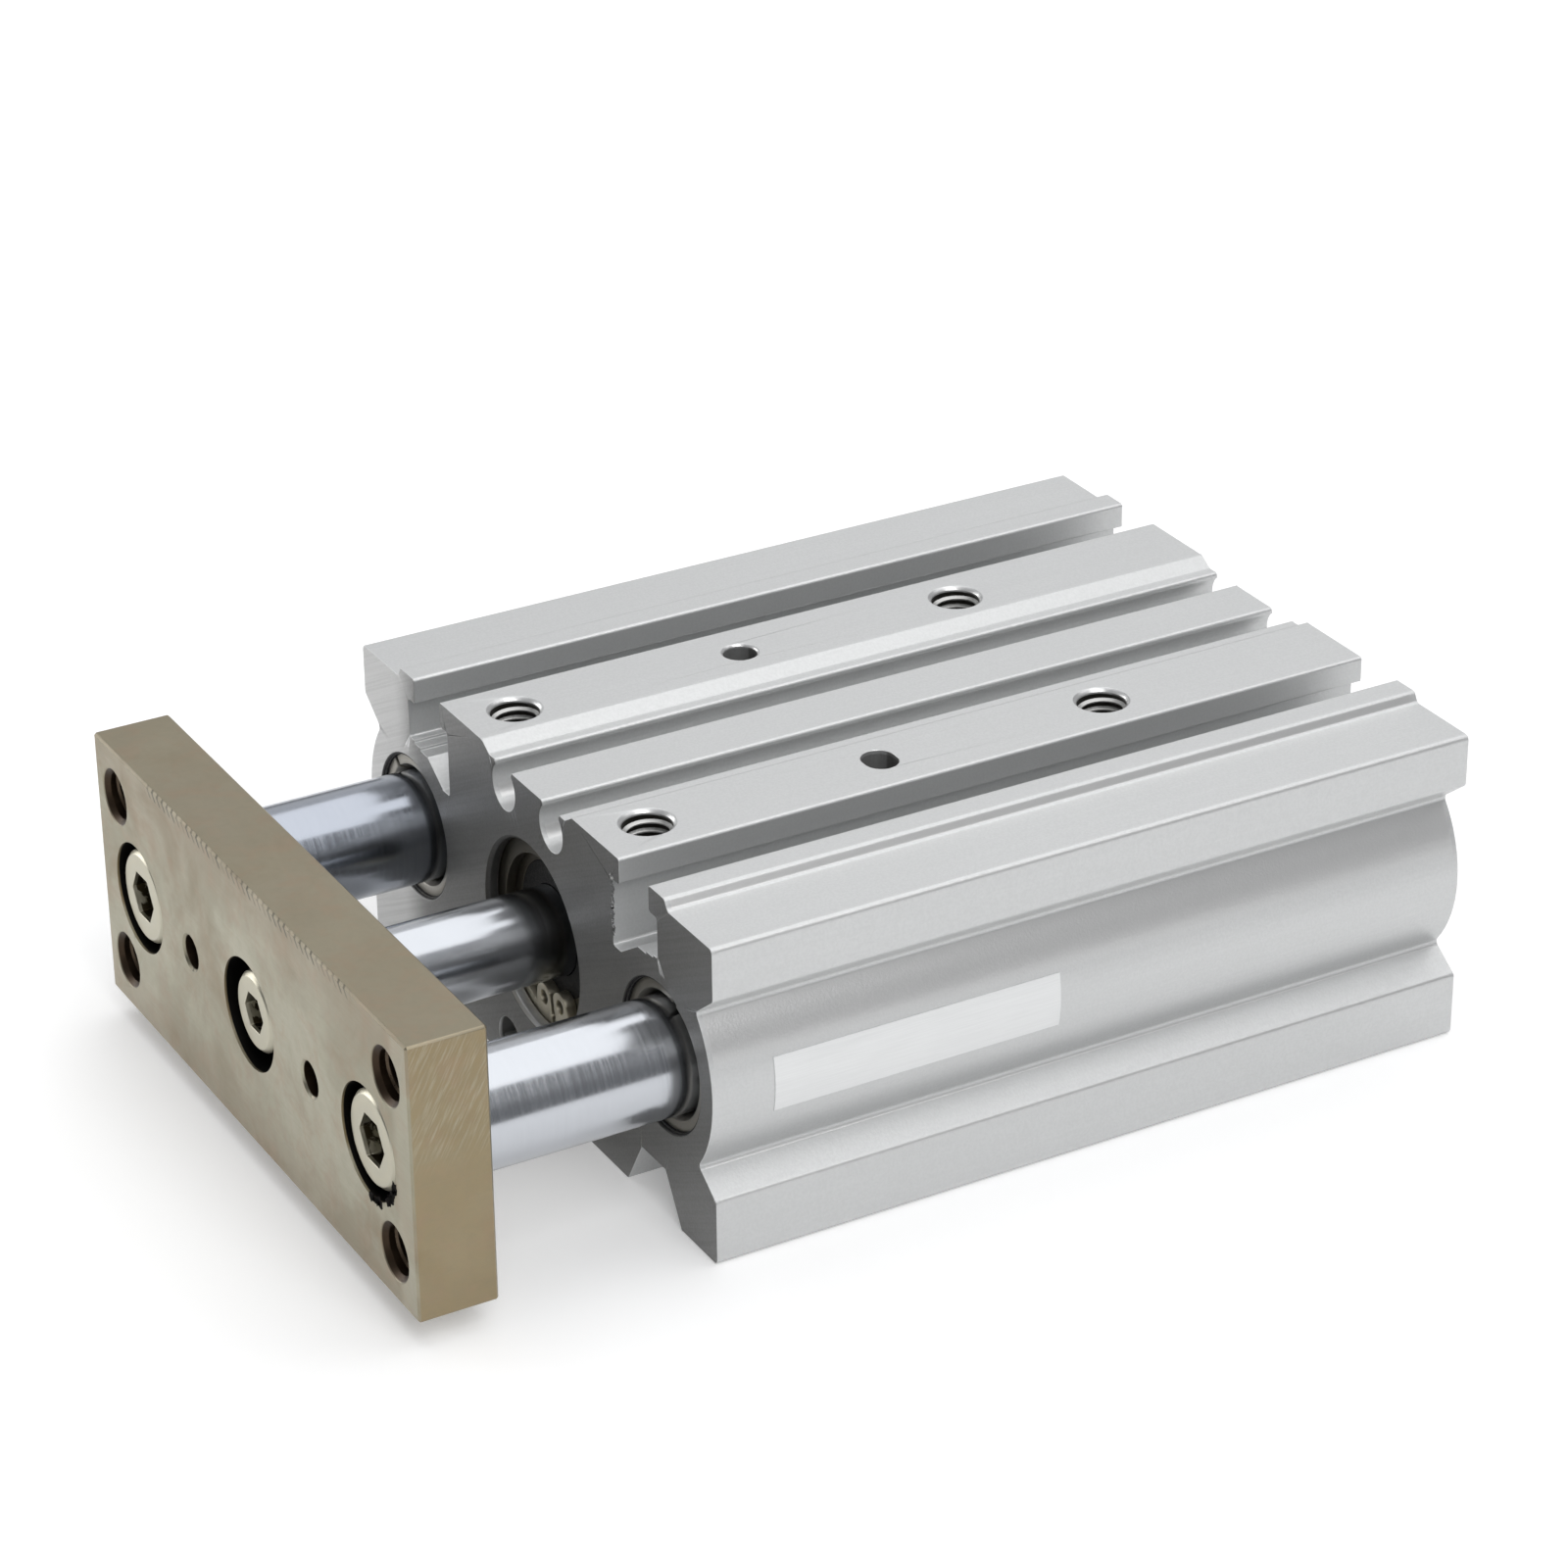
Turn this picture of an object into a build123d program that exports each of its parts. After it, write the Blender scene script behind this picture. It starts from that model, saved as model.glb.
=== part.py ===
from build123d import *
from math import dist
import os

# Guided compact pneumatic cylinder: a piston rod and two guide rods carry a
# front plate, and an extruded aluminium block holds the bore and the guides.
#
# Frame: X across the block, Y along the rods with the plate towards -Y, Z up.
# The origin is the middle of the four mounting holes, in the underside plane.
# Left is -X and right is +X, as seen by someone facing the front plate.

# Working sizes
BORE = 16.0
STROKE = 40.0
EXTENSION = 13.0
PISTON_ROD_DIA = 8.0
GUIDE_ROD_DIA = 10.0
RETRACTED_GAP = 6.0

# Fits, as gaps on the radius
RUNNING_GAP = 0.05
SEAT_GAP = 0.02
THREAD_GAP = 0.05

# Extruded block
BODY_WIDTH = 64.0
BODY_HEIGHT = 30.0
GUIDE_FROM_SIDE = 9.0
PATTERN_FROM_FRONT = 27.0
OUTER_RADIUS = 0.5
CORNER_RADIUS = 0.3

# Top face: a shallow middle channel, two slots for square nuts, two raised lips
CHANNEL_WIDTH = 14.0
CHANNEL_DEPTH = 0.8
CHANNEL_RAMP = 1.3
NUT_SLOT_PITCH = 38.0
NUT_SLOT_MOUTH = 5.0
NUT_SLOT_WIDTH = 7.7
NUT_SLOT_LIP = 2.4
NUT_SLOT_DEPTH = 8.5
NUT_LEDGE_WIDTH = 0.8
NUT_STEP_WIDTH = 1.2
NUT_STEP_DROP = 0.25
NUT_RAMP_FOOT = 1.35
NUT_RAMP_SLOPE = 0.65
GUIDE_HOUSING_WALL = 2.4
LIP_WIDTH = 2.7
LIP_HEIGHT = 0.9
LIP_RAMP = 0.5

# Sensor grooves, round with a narrow mouth
SENSOR_GROOVE_DIA = 4.2
SENSOR_GROOVE_MOUTH = 2.9
TOP_SENSOR_PITCH = 8.7
TOP_SENSOR_DEPTH = 2.0
LOW_SENSOR_PITCH = 10.2
LOW_SENSOR_DEPTH = 2.3

# Sides: two flanges with a swollen guide housing between them
UPPER_FLANGE = 5.6
LOWER_FLANGE = 5.9
VALLEY_DEPTH = 2.9
VALLEY_HEIGHT = 14.2
SWELL_INSET = 0.32

# Underside grooves between the feet and the middle
FOOT_GROOVE_PITCH = 42.6
FOOT_GROOVE_MOUTH = 9.3
FOOT_GROOVE_FLOOR = 4.1
FOOT_GROOVE_DEPTH = 4.4

# Mounting holes through the block, threaded above and counterbored below
MOUNT_SPACING_X = 24.0
MOUNT_SPACING_Y = 44.0
MOUNT_HOLE_DIA = 4.3
MOUNT_MOUTH_DIA = 4.9
MOUNT_COUNTERBORE_DIA = 8.0
MOUNT_COUNTERBORE_DEPTH = 4.5

# Locating holes on the top face, one round and one lengthened across
DOWEL_DIA = 3.0
DOWEL_SLOT_LENGTH = 3.5
DOWEL_DEPTH = 6.0
DOWEL_CHAMFER = 0.2

# Threaded holes of the rear face, M5, which stop short of the side port
REAR_HOLE_FROM_SIDE = 4.0
REAR_HOLE_FROM_TOP = 4.0
M5_HOLE_DIA = 4.2
M5_MOUTH_DIA = 5.2
M5_DIA = 5.0
M4_DIA = 4.0

# Air ports, M5, open on the underside and plugged on the left side
FRONT_PORT_FROM_FACE = 11.0
REAR_PORT_FROM_FACE = 8.0
PORT_WALL = 0.7
SIDE_PORT_DEPTH = 3.5
SIDE_PORT_SPOT_DIA = 7.0
AIR_PASSAGE_DIA = 2.4
PLUG_LENGTH = 2.8
PLUG_SOCKET = 2.5
PLUG_SOCKET_DEPTH = 1.6

# Bore ends: recesses, ring grooves, covers
RECESS_STEP = 0.5
BORE_CHAMFER = 0.3
FRONT_LAND = 1.2
REAR_LAND = 1.8
RING_THICKNESS = 1.0
RING_GROOVE_STEP = 0.6
RING_GROOVE_PLAY = 0.1
RING_BAND = 1.7
RING_TAPER = 0.45
RING_LUG_RADIUS = 1.3
RING_LUG_INSET = 2.5
RING_EYELET_DIA = 1.3
RING_OPENING = 0.6
RING_LUG_SPREAD = 13.0
FRONT_RING_TURN = -82.0
REAR_RING_TURN = -90.0
COVER_FLANGE = 6.0
COVER_NOSE_STEP = 1.1
COVER_NOSE = 4.0
HEAD_FLANGE = 3.0
HEAD_NOSE = 2.0
COVER_FACE_CHAMFER = 0.4
ORING_WIDTH = 1.4
ORING_DEPTH = 0.9
ORING_FROM_SHOULDER = 0.8

# Rod cover contents, the seal in front of the bushing
ROD_SEAL_WALL = 2.1
ROD_SEAL_LENGTH = 2.8
ROD_BUSHING_WALL = 1.0
ROD_BUSHING_LENGTH = 5.5
FRONT_BUMPER = 1.5
REAR_BUMPER = 1.2
REAR_BUMPER_STEP = 0.9
END_PLAY = 0.3

# Piston
PISTON_SPIGOT_DIA = 5.0
PISTON_FRONT_LAND = 1.6
PISTON_SEAL_WIDTH = 2.4
PISTON_SEAL_DEPTH = 1.6
PISTON_MIDDLE_LAND = 1.4
MAGNET_WIDTH = 3.0
MAGNET_DEPTH = 1.8
PISTON_REAR_LAND = 1.6
PISTON_EDGE = 0.4

# Guide bushings, rolled sleeves with an open seam
GUIDE_BUSHING_WALL = 1.5
GUIDE_BUSHING_LENGTH = 14.0
GUIDE_BUSHING_SETBACK = 0.5
GUIDE_BUSHING_BEVEL = 0.55
GUIDE_BUSHING_SEAM = 0.6
GUIDE_MOUTH_CHAMFER = 0.25
GUIDE_REAR_GAP = 0.6
LEFT_SEAM_TURN = 130.0
RIGHT_SEAM_TURN = 74.0

# Front plate
PLATE_SIDE_STEP = 1.0
PLATE_TOP_STEP = 2.5
PLATE_THICKNESS = 7.0
PLATE_EDGE = 0.2
PLATE_HOLE_FROM_SIDE = 4.0
PLATE_HOLE_FROM_TOP = 4.5
PLATE_PIN_SPACING = 24.0
PLATE_PIN_DIA = 3.0
PLATE_PIN_DEPTH = 5.0
GUIDE_BOLT_SINK = 0.3
ROD_BOLT_SINK = 0.45
BOLT_HOLE_GAP = 0.25

# Socket head bolts
GUIDE_BOLT_HEAD_DIA = 8.4
HEAD_GAP = 0.75
GUIDE_BOLT_HEAD = 5.0
GUIDE_BOLT_SOCKET = 4.0
GUIDE_BOLT_LENGTH = 12.0
ROD_BOLT_HEAD_DIA = 7.1
ROD_BOLT_HEAD = 4.0
ROD_BOLT_SOCKET = 3.2
ROD_BOLT_LENGTH = 10.0
BOLT_HEAD_CHAMFER = 0.4
SOCKET_DEPTH_SHARE = 0.55
THREAD_RUNOUT = 2.0
ROD_END_CHAMFER = 0.5

# Sizes that follow from others
GUIDE_PITCH = BODY_WIDTH - 2 * GUIDE_FROM_SIDE
GUIDE_BUSHING_DIA = GUIDE_ROD_DIA + 2 * GUIDE_BUSHING_WALL
GUIDE_HOUSING_DIA = GUIDE_BUSHING_DIA + 2 * GUIDE_HOUSING_WALL
GUIDE_REAR_BORE_DIA = GUIDE_ROD_DIA + 2 * GUIDE_REAR_GAP
RECESS_DIA = BORE + 2 * RECESS_STEP
RING_GROOVE_DIA = RECESS_DIA + 2 * RING_GROOVE_STEP
COVER_NOSE_DIA = BORE - 2 * COVER_NOSE_STEP
REAR_BUMPER_DIA = COVER_NOSE_DIA - 2 * REAR_BUMPER_STEP
ROD_SEAL_DIA = PISTON_ROD_DIA + 2 * ROD_SEAL_WALL
PISTON_LENGTH = (PISTON_FRONT_LAND + PISTON_SEAL_WIDTH + PISTON_MIDDLE_LAND + MAGNET_WIDTH
                 + PISTON_REAR_LAND)
FRONT_STACK = FRONT_LAND + RING_THICKNESS + COVER_FLANGE + COVER_NOSE + FRONT_BUMPER
REAR_STACK = REAR_BUMPER + HEAD_NOSE + HEAD_FLANGE + RING_THICKNESS + REAR_LAND
BODY_LENGTH = FRONT_STACK + STROKE + PISTON_LENGTH + END_PLAY + REAR_STACK
PLATE_WIDTH = BODY_WIDTH - 2 * PLATE_SIDE_STEP
PLATE_HEIGHT = BODY_HEIGHT - 2 * PLATE_TOP_STEP
PLATE_SPACING_X = PLATE_WIDTH - 2 * PLATE_HOLE_FROM_SIDE
PLATE_SPACING_Z = PLATE_HEIGHT - 2 * PLATE_HOLE_FROM_TOP
PLATE_COUNTERBORE_DIA = GUIDE_BOLT_HEAD_DIA + 2 * HEAD_GAP
REAR_SPACING_X = BODY_WIDTH - 2 * REAR_HOLE_FROM_SIDE
REAR_SPACING_Z = BODY_HEIGHT - 2 * REAR_HOLE_FROM_TOP
REAR_THREAD_DEPTH = REAR_PORT_FROM_FACE - M5_HOLE_DIA / 2 - PORT_WALL

# Places worked out from the sizes
FRONT_FACE = -PATTERN_FROM_FRONT
REAR_FACE = FRONT_FACE + BODY_LENGTH
AXIS_Z = BODY_HEIGHT / 2
NUT_LEDGE_HEIGHT = AXIS_Z + GUIDE_HOUSING_DIA / 2
HALF_WIDTH = BODY_WIDTH / 2
GUIDE_X = GUIDE_PITCH / 2
BEYOND = 1.0

FRONT_RING_Y = FRONT_FACE + FRONT_LAND
COVER_FRONT = FRONT_RING_Y + RING_THICKNESS
COVER_SHOULDER = COVER_FRONT + COVER_FLANGE
COVER_REAR = COVER_SHOULDER + COVER_NOSE
PISTON_FRONT_STOP = COVER_REAR + FRONT_BUMPER
REAR_RING_Y = REAR_FACE - REAR_LAND - RING_THICKNESS
HEAD_SHOULDER = REAR_RING_Y - HEAD_FLANGE
HEAD_FRONT = HEAD_SHOULDER - HEAD_NOSE
PISTON_FRONT = PISTON_FRONT_STOP + STROKE - EXTENSION
PISTON_REAR = PISTON_FRONT + PISTON_LENGTH

PLATE_BACK = FRONT_FACE - RETRACTED_GAP - EXTENSION
PLATE_FRONT = PLATE_BACK - PLATE_THICKNESS
GUIDE_ROD_LENGTH = BODY_LENGTH + RETRACTED_GAP
GUIDE_ROD_REAR = PLATE_BACK + GUIDE_ROD_LENGTH
GUIDE_SOCKET_END = GUIDE_ROD_REAR - STROKE + EXTENSION
FRONT_PORT_Y = FRONT_FACE + FRONT_PORT_FROM_FACE
REAR_PORT_Y = REAR_FACE - REAR_PORT_FROM_FACE
GUIDE_SEAT_RADIUS = GUIDE_BUSHING_DIA / 2 + SEAT_GAP
SIDE_PORT_Z = (FOOT_GROOVE_DEPTH + AXIS_Z - GUIDE_SEAT_RADIUS) / 2
SIDE_PORT_X = -(HALF_WIDTH - VALLEY_DEPTH)


def across(y):
    """Plane across the rods at y, seen from the plate: local x is X, local y is Z."""
    return Plane(origin=(0, y, 0), x_dir=(1, 0, 0), z_dir=(0, -1, 0))


def turned(profile, x=0.0):
    """Solid of revolution about the rod axis at x, from (radius, y) corners."""
    face = make_face(Polyline(*profile, close=True))
    return Pos(x, 0, AXIS_Z) * revolve(face, Axis.Y)


def tube(outer, inner, start, end, x=0.0):
    """Plain ring about the rod axis at x between two places along Y."""
    return turned([(inner, start), (outer, start), (outer, end), (inner, end)], x)


def rod_shape(radius, start, end, chamfer, x=0.0):
    """Solid round bar with both ends chamfered."""
    return turned([(0, start), (radius - chamfer, start), (radius, start + chamfer),
                   (radius, end - chamfer), (radius - chamfer, end), (0, end)], x)


def drill_up(radius, bottom, top, x, y):
    """Round cutter along Z."""
    return Pos(x, y, (bottom + top) / 2) * Cylinder(radius, top - bottom)


def countersink(radius, mouth, z, x, y, facing=1):
    """Cone that opens a hole of the given radius to mouth at height z."""
    depth = mouth - radius
    cone = Cone(radius, mouth, depth) if facing > 0 else Cone(mouth, radius, depth)
    return Pos(x, y, z - facing * depth / 2) * cone


def hole_along_y(radius, mouth, face, depth, x, z):
    """Blind hole with a chamfered mouth at face, running towards +Y for a positive depth."""
    way = 1 if depth > 0 else -1
    profile = [(0, face - way * BEYOND), (mouth, face - way * BEYOND), (mouth, face),
               (radius, face + way * (mouth - radius)), (radius, face + depth), (0, face + depth)]
    face_shape = make_face(Polyline(*profile, close=True))
    return Pos(x, 0, z) * revolve(face_shape, Axis.Y)


def rectangle_places(spacing_x, spacing_y):
    """Corners of a hole rectangle about the middle."""
    return [(sx * spacing_x / 2, sy * spacing_y / 2) for sx in (-1, 1) for sy in (-1, 1)]


def sensor_groove(x, depth, rim, facing):
    """Round groove with a narrow mouth towards facing, its rim at height rim."""
    centre = rim - facing * depth
    reach = depth + BEYOND
    mouth = Pos(x, centre + facing * reach / 2) * Rectangle(SENSOR_GROOVE_MOUTH, reach)
    return Pos(x, centre) * Circle(SENSOR_GROOVE_DIA / 2) + mouth


def nut_slot(side):
    """Slot for square nuts, its floor sloping up to a ledge over the guide housing."""
    top = BODY_HEIGHT
    x = side * NUT_SLOT_PITCH / 2
    mouth = Pos(x, top - NUT_SLOT_LIP / 2) * Rectangle(NUT_SLOT_MOUTH, NUT_SLOT_LIP + BEYOND)
    outer = x + side * NUT_SLOT_WIDTH / 2
    inner = x - side * NUT_SLOT_WIDTH / 2
    ceiling = top - NUT_SLOT_LIP
    floor = top - NUT_SLOT_DEPTH
    foot = inner + side * NUT_RAMP_FOOT
    head = foot + side * (NUT_LEDGE_HEIGHT - floor) / NUT_RAMP_SLOPE
    room = Polyline((inner, ceiling), (outer, ceiling), (outer, NUT_LEDGE_HEIGHT),
                    (head, NUT_LEDGE_HEIGHT), (foot, floor), (inner, floor), close=True)
    return mouth + make_face(room)


def nut_slot_steps(side):
    """Two small steps between the ledge and the ramp of a nut slot."""
    edge = side * (NUT_SLOT_PITCH + NUT_SLOT_WIDTH) / 2
    steps = []
    for count, width in ((1, NUT_LEDGE_WIDTH), (2, NUT_LEDGE_WIDTH + NUT_STEP_WIDTH)):
        start = edge - side * width
        height = NUT_LEDGE_HEIGHT - count * NUT_STEP_DROP
        reach = side * NUT_SLOT_WIDTH / 2
        steps.append(make_face(Polyline((start, height), (start, NUT_LEDGE_HEIGHT + NUT_STEP_DROP),
                                        (start - reach, NUT_LEDGE_HEIGHT + NUT_STEP_DROP),
                                        (start - reach, height), close=True)))
    return steps


def foot_groove(x):
    """Sloping groove of the underside."""
    mouth = FOOT_GROOVE_MOUTH / 2
    floor = FOOT_GROOVE_FLOOR / 2
    corners = [(x - mouth, 0), (x - floor, FOOT_GROOVE_DEPTH),
               (x + floor, FOOT_GROOVE_DEPTH), (x + mouth, 0)]
    return make_face(Polyline(*corners, close=True))


def block_outline():
    """Outer outline of the extrusion, with its flanges, swollen sides and top steps."""
    top = BODY_HEIGHT
    valley_x = HALF_WIDTH - VALLEY_DEPTH
    valley_low = AXIS_Z - VALLEY_HEIGHT / 2
    valley_high = AXIS_Z + VALLEY_HEIGHT / 2
    lip_edge = NUT_SLOT_PITCH / 2 + NUT_SLOT_MOUTH / 2 + LIP_WIDTH
    channel_edge = CHANNEL_WIDTH / 2
    lower = Polyline((0, 0), (HALF_WIDTH, 0), (HALF_WIDTH, LOWER_FLANGE), (valley_x, valley_low))
    swell = ThreePointArc((valley_x, valley_low), (HALF_WIDTH - SWELL_INSET, AXIS_Z),
                          (valley_x, valley_high))
    upper = Polyline((valley_x, valley_high), (HALF_WIDTH, top - UPPER_FLANGE),
                     (HALF_WIDTH, top - LIP_HEIGHT), (lip_edge + LIP_RAMP, top - LIP_HEIGHT),
                     (lip_edge, top), (channel_edge + CHANNEL_RAMP, top),
                     (channel_edge, top - CHANNEL_DEPTH), (0, top - CHANNEL_DEPTH))
    right = Curve() + [lower, swell, upper]
    outline = make_face(right + mirror(right, Plane.YZ))
    corners = [corner for corner in outline.vertices() if abs(corner.X) > CORNER_RADIUS]
    return fillet(corners, OUTER_RADIUS)


def added_corners(face, outline):
    """Corners of face that the outline does not have."""
    known = [tuple(corner) for corner in outline.vertices()]
    return [corner for corner in face.vertices()
            if min(dist(tuple(corner), other) for other in known) > SEAT_GAP]


def block_section():
    """Cross-section of the extruded block with every long groove in it."""
    rim = BODY_HEIGHT - CHANNEL_DEPTH
    outline = block_outline()
    face = outline
    for side in (-1, 1):
        face -= nut_slot(side)
        face -= foot_groove(side * FOOT_GROOVE_PITCH / 2)
        face -= sensor_groove(side * TOP_SENSOR_PITCH / 2, TOP_SENSOR_DEPTH, rim, 1)
        face -= sensor_groove(side * LOW_SENSOR_PITCH / 2, LOW_SENSOR_DEPTH, 0, -1)
    face = fillet(added_corners(face, outline), CORNER_RADIUS)
    for side in (-1, 1):
        for step in nut_slot_steps(side):
            face -= step
    return face


def ring_groove(start):
    """Cutter for the groove that holds a retaining ring."""
    return tube(RING_GROOVE_DIA / 2, BORE / 4, start, start + RING_THICKNESS + RING_GROOVE_PLAY)


def main_bore():
    """Cutter for the piston bore, its end recesses and the two ring grooves."""
    bore = BORE / 2
    recess = RECESS_DIA / 2
    mouth = recess + BORE_CHAMFER
    profile = [(0, FRONT_FACE - BEYOND), (mouth, FRONT_FACE - BEYOND), (mouth, FRONT_FACE),
               (recess, FRONT_FACE + BORE_CHAMFER), (recess, COVER_SHOULDER),
               (bore, COVER_SHOULDER), (bore, HEAD_SHOULDER), (recess, HEAD_SHOULDER),
               (recess, REAR_FACE - BORE_CHAMFER), (mouth, REAR_FACE),
               (mouth, REAR_FACE + BEYOND), (0, REAR_FACE + BEYOND)]
    front_groove = ring_groove(FRONT_RING_Y - RING_GROOVE_PLAY)
    return turned(profile) + front_groove + ring_groove(REAR_RING_Y)


def guide_bore(x):
    """Cutter for one guide bore: a seat for the bushings, then a clear hole to the rear."""
    seat = GUIDE_SEAT_RADIUS
    mouth = seat + GUIDE_MOUTH_CHAMFER
    rear = GUIDE_REAR_BORE_DIA / 2
    return turned([(0, FRONT_FACE - BEYOND), (mouth, FRONT_FACE - BEYOND), (mouth, FRONT_FACE),
                   (seat, FRONT_FACE + GUIDE_MOUTH_CHAMFER), (seat, GUIDE_SOCKET_END),
                   (rear, GUIDE_SOCKET_END), (rear, REAR_FACE + BEYOND),
                   (0, REAR_FACE + BEYOND)], x)


def mount_hole(x, y):
    """Cutter for a mounting hole, opened at the top and counterbored below."""
    radius = MOUNT_HOLE_DIA / 2
    shaft = drill_up(radius, -BEYOND, BODY_HEIGHT + BEYOND, x, y)
    seat = drill_up(MOUNT_COUNTERBORE_DIA / 2, -BEYOND, MOUNT_COUNTERBORE_DEPTH, x, y)
    return shaft + seat + countersink(radius, MOUNT_MOUTH_DIA / 2, BODY_HEIGHT, x, y)


def dowel_holes():
    """Cutters for the round locating hole on the left and the lengthened one on the right."""
    x = MOUNT_SPACING_X / 2
    bottom = BODY_HEIGHT - DOWEL_DEPTH
    radius = DOWEL_DIA / 2
    round_hole = drill_up(radius, bottom, BODY_HEIGHT + BEYOND, -x, 0)
    round_hole += countersink(radius, radius + DOWEL_CHAMFER, BODY_HEIGHT, -x, 0)
    outline = Pos(x, 0, bottom) * SlotOverall(DOWEL_SLOT_LENGTH, DOWEL_DIA)
    return round_hole + extrude(outline, DOWEL_DEPTH + BEYOND)


def underside_port(y):
    """Cutter for an air port that runs up into the bore."""
    radius = M5_HOLE_DIA / 2
    port = drill_up(radius, -BEYOND, AXIS_Z - BORE / 4, 0, y)
    return port + countersink(radius, M5_MOUTH_DIA / 2, 0, 0, y, facing=-1)


def along_x(radius, start, end, y, z):
    """Round bar along X between two places."""
    return Pos((start + end) / 2, y, z) * Rot(Y=90) * Cylinder(radius, end - start)


def side_port(y):
    """Cutter for a side port: spot face, threaded part, and the passage to the open port."""
    spot = along_x(SIDE_PORT_SPOT_DIA / 2, -HALF_WIDTH - BEYOND, SIDE_PORT_X, y, SIDE_PORT_Z)
    thread_end = SIDE_PORT_X + SIDE_PORT_DEPTH
    thread = along_x(M5_HOLE_DIA / 2, SIDE_PORT_X - BEYOND, thread_end, y, SIDE_PORT_Z)
    passage = along_x(AIR_PASSAGE_DIA / 2, SIDE_PORT_X, 0, y, SIDE_PORT_Z)
    return spot + thread + passage


def body_block():
    """The extruded block with all of its machining."""
    block = extrude(across(REAR_FACE) * block_section(), BODY_LENGTH)
    block -= main_bore()
    for side in (-1, 1):
        block -= guide_bore(side * GUIDE_X)
    for x, y in rectangle_places(MOUNT_SPACING_X, MOUNT_SPACING_Y):
        block -= mount_hole(x, y)
    block -= dowel_holes()
    for x, dz in rectangle_places(REAR_SPACING_X, REAR_SPACING_Z):
        block -= hole_along_y(M5_HOLE_DIA / 2, M5_MOUTH_DIA / 2, REAR_FACE,
                              -REAR_THREAD_DEPTH, x, AXIS_Z + dz)
    for y in (FRONT_PORT_Y, REAR_PORT_Y):
        block -= underside_port(y)
        block -= side_port(y)
    return block


def cover_rim(shoulder, flange_end):
    """Seal groove place on a cover flange: start and end along Y, measured from its shoulder."""
    way = 1 if flange_end > shoulder else -1
    start = shoulder + way * ORING_FROM_SHOULDER
    return sorted((start, start + way * ORING_WIDTH))


def rod_cover():
    """Front cover: flange with a seal groove, nose, rod seal pocket and rod bushing seat."""
    flange = RECESS_DIA / 2 - SEAT_GAP
    nose = COVER_NOSE_DIA / 2
    clear = PISTON_ROD_DIA / 2 + BOLT_HOLE_GAP
    seat = PISTON_ROD_DIA / 2 + ROD_BUSHING_WALL + SEAT_GAP
    pocket = ROD_SEAL_DIA / 2 + SEAT_GAP
    pocket_end = COVER_FRONT + ROD_SEAL_LENGTH
    bushing_start = COVER_REAR - ROD_BUSHING_LENGTH
    cover = turned([(pocket, COVER_FRONT), (flange - COVER_FACE_CHAMFER, COVER_FRONT),
                    (flange, COVER_FRONT + COVER_FACE_CHAMFER), (flange, COVER_SHOULDER),
                    (nose, COVER_SHOULDER), (nose, COVER_REAR), (seat, COVER_REAR),
                    (seat, bushing_start), (clear, bushing_start), (clear, pocket_end),
                    (pocket, pocket_end)])
    start, end = cover_rim(COVER_SHOULDER, COVER_FRONT)
    return cover - tube(flange + BEYOND, flange - ORING_DEPTH, start, end)


def head_cover():
    """Rear cover: a flange with a seal groove and a short nose."""
    flange = RECESS_DIA / 2 - SEAT_GAP
    nose = COVER_NOSE_DIA / 2
    end = HEAD_SHOULDER + HEAD_FLANGE
    cover = turned([(0, HEAD_FRONT), (nose, HEAD_FRONT), (nose, HEAD_SHOULDER),
                    (flange, HEAD_SHOULDER), (flange, end - COVER_FACE_CHAMFER),
                    (flange - COVER_FACE_CHAMFER, end), (0, end)])
    start, groove_end = cover_rim(HEAD_SHOULDER, end)
    return cover - tube(flange + BEYOND, flange - ORING_DEPTH, start, groove_end)


def cover_oring(shoulder, flange_end):
    """Seal ring that fills the groove of a cover."""
    start, end = cover_rim(shoulder, flange_end)
    outer = RECESS_DIA / 2 - SEAT_GAP
    return tube(outer, outer - ORING_DEPTH + SEAT_GAP, start + SEAT_GAP, end - SEAT_GAP)


def retaining_ring(start, turn):
    """Internal retaining ring with two eyelet lugs beside its opening, turned by turn."""
    outer = RING_GROOVE_DIA / 2 - SEAT_GAP
    band = Circle(outer) - Pos(RING_TAPER, 0) * Circle(outer - RING_BAND)
    lug_radius = outer - RING_LUG_INSET
    opening = Pos(outer, 0) * Rectangle(2 * outer, RING_OPENING)
    lugs = [Rot(Z=side * RING_LUG_SPREAD) * Pos(lug_radius, 0) for side in (-1, 1)]
    neck = Pos(RING_LUG_INSET / 2, 0) * Rectangle(RING_LUG_INSET, 2 * RING_LUG_RADIUS)
    for place in lugs:
        band += place * Circle(RING_LUG_RADIUS)
        band += (place * neck) & Circle(outer)
    band -= opening
    for place in lugs:
        band -= place * Circle(RING_EYELET_DIA / 2)
    shape = across(start + RING_THICKNESS) * Pos(0, AXIS_Z) * Rot(Z=turn) * band
    return extrude(shape, RING_THICKNESS)


def guide_bushing(x, start, seam_turn, bevelled):
    """Rolled guide sleeve with its open seam; the front one has a wide bevel inside."""
    inner = GUIDE_ROD_DIA / 2 + RUNNING_GAP
    outer = GUIDE_BUSHING_DIA / 2
    end = start + GUIDE_BUSHING_LENGTH
    bevel = GUIDE_BUSHING_BEVEL if bevelled else RUNNING_GAP
    sleeve = turned([(inner + bevel, start), (outer, start), (outer, end), (inner, end),
                     (inner, start + 2 * bevel)], x)
    seam = Pos(x, 0, AXIS_Z) * Rot(Y=-seam_turn) * Pos(outer, start, 0)
    return sleeve - seam * Box(2 * (outer - inner) + BEYOND, 3 * GUIDE_BUSHING_LENGTH,
                               GUIDE_BUSHING_SEAM)


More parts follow.
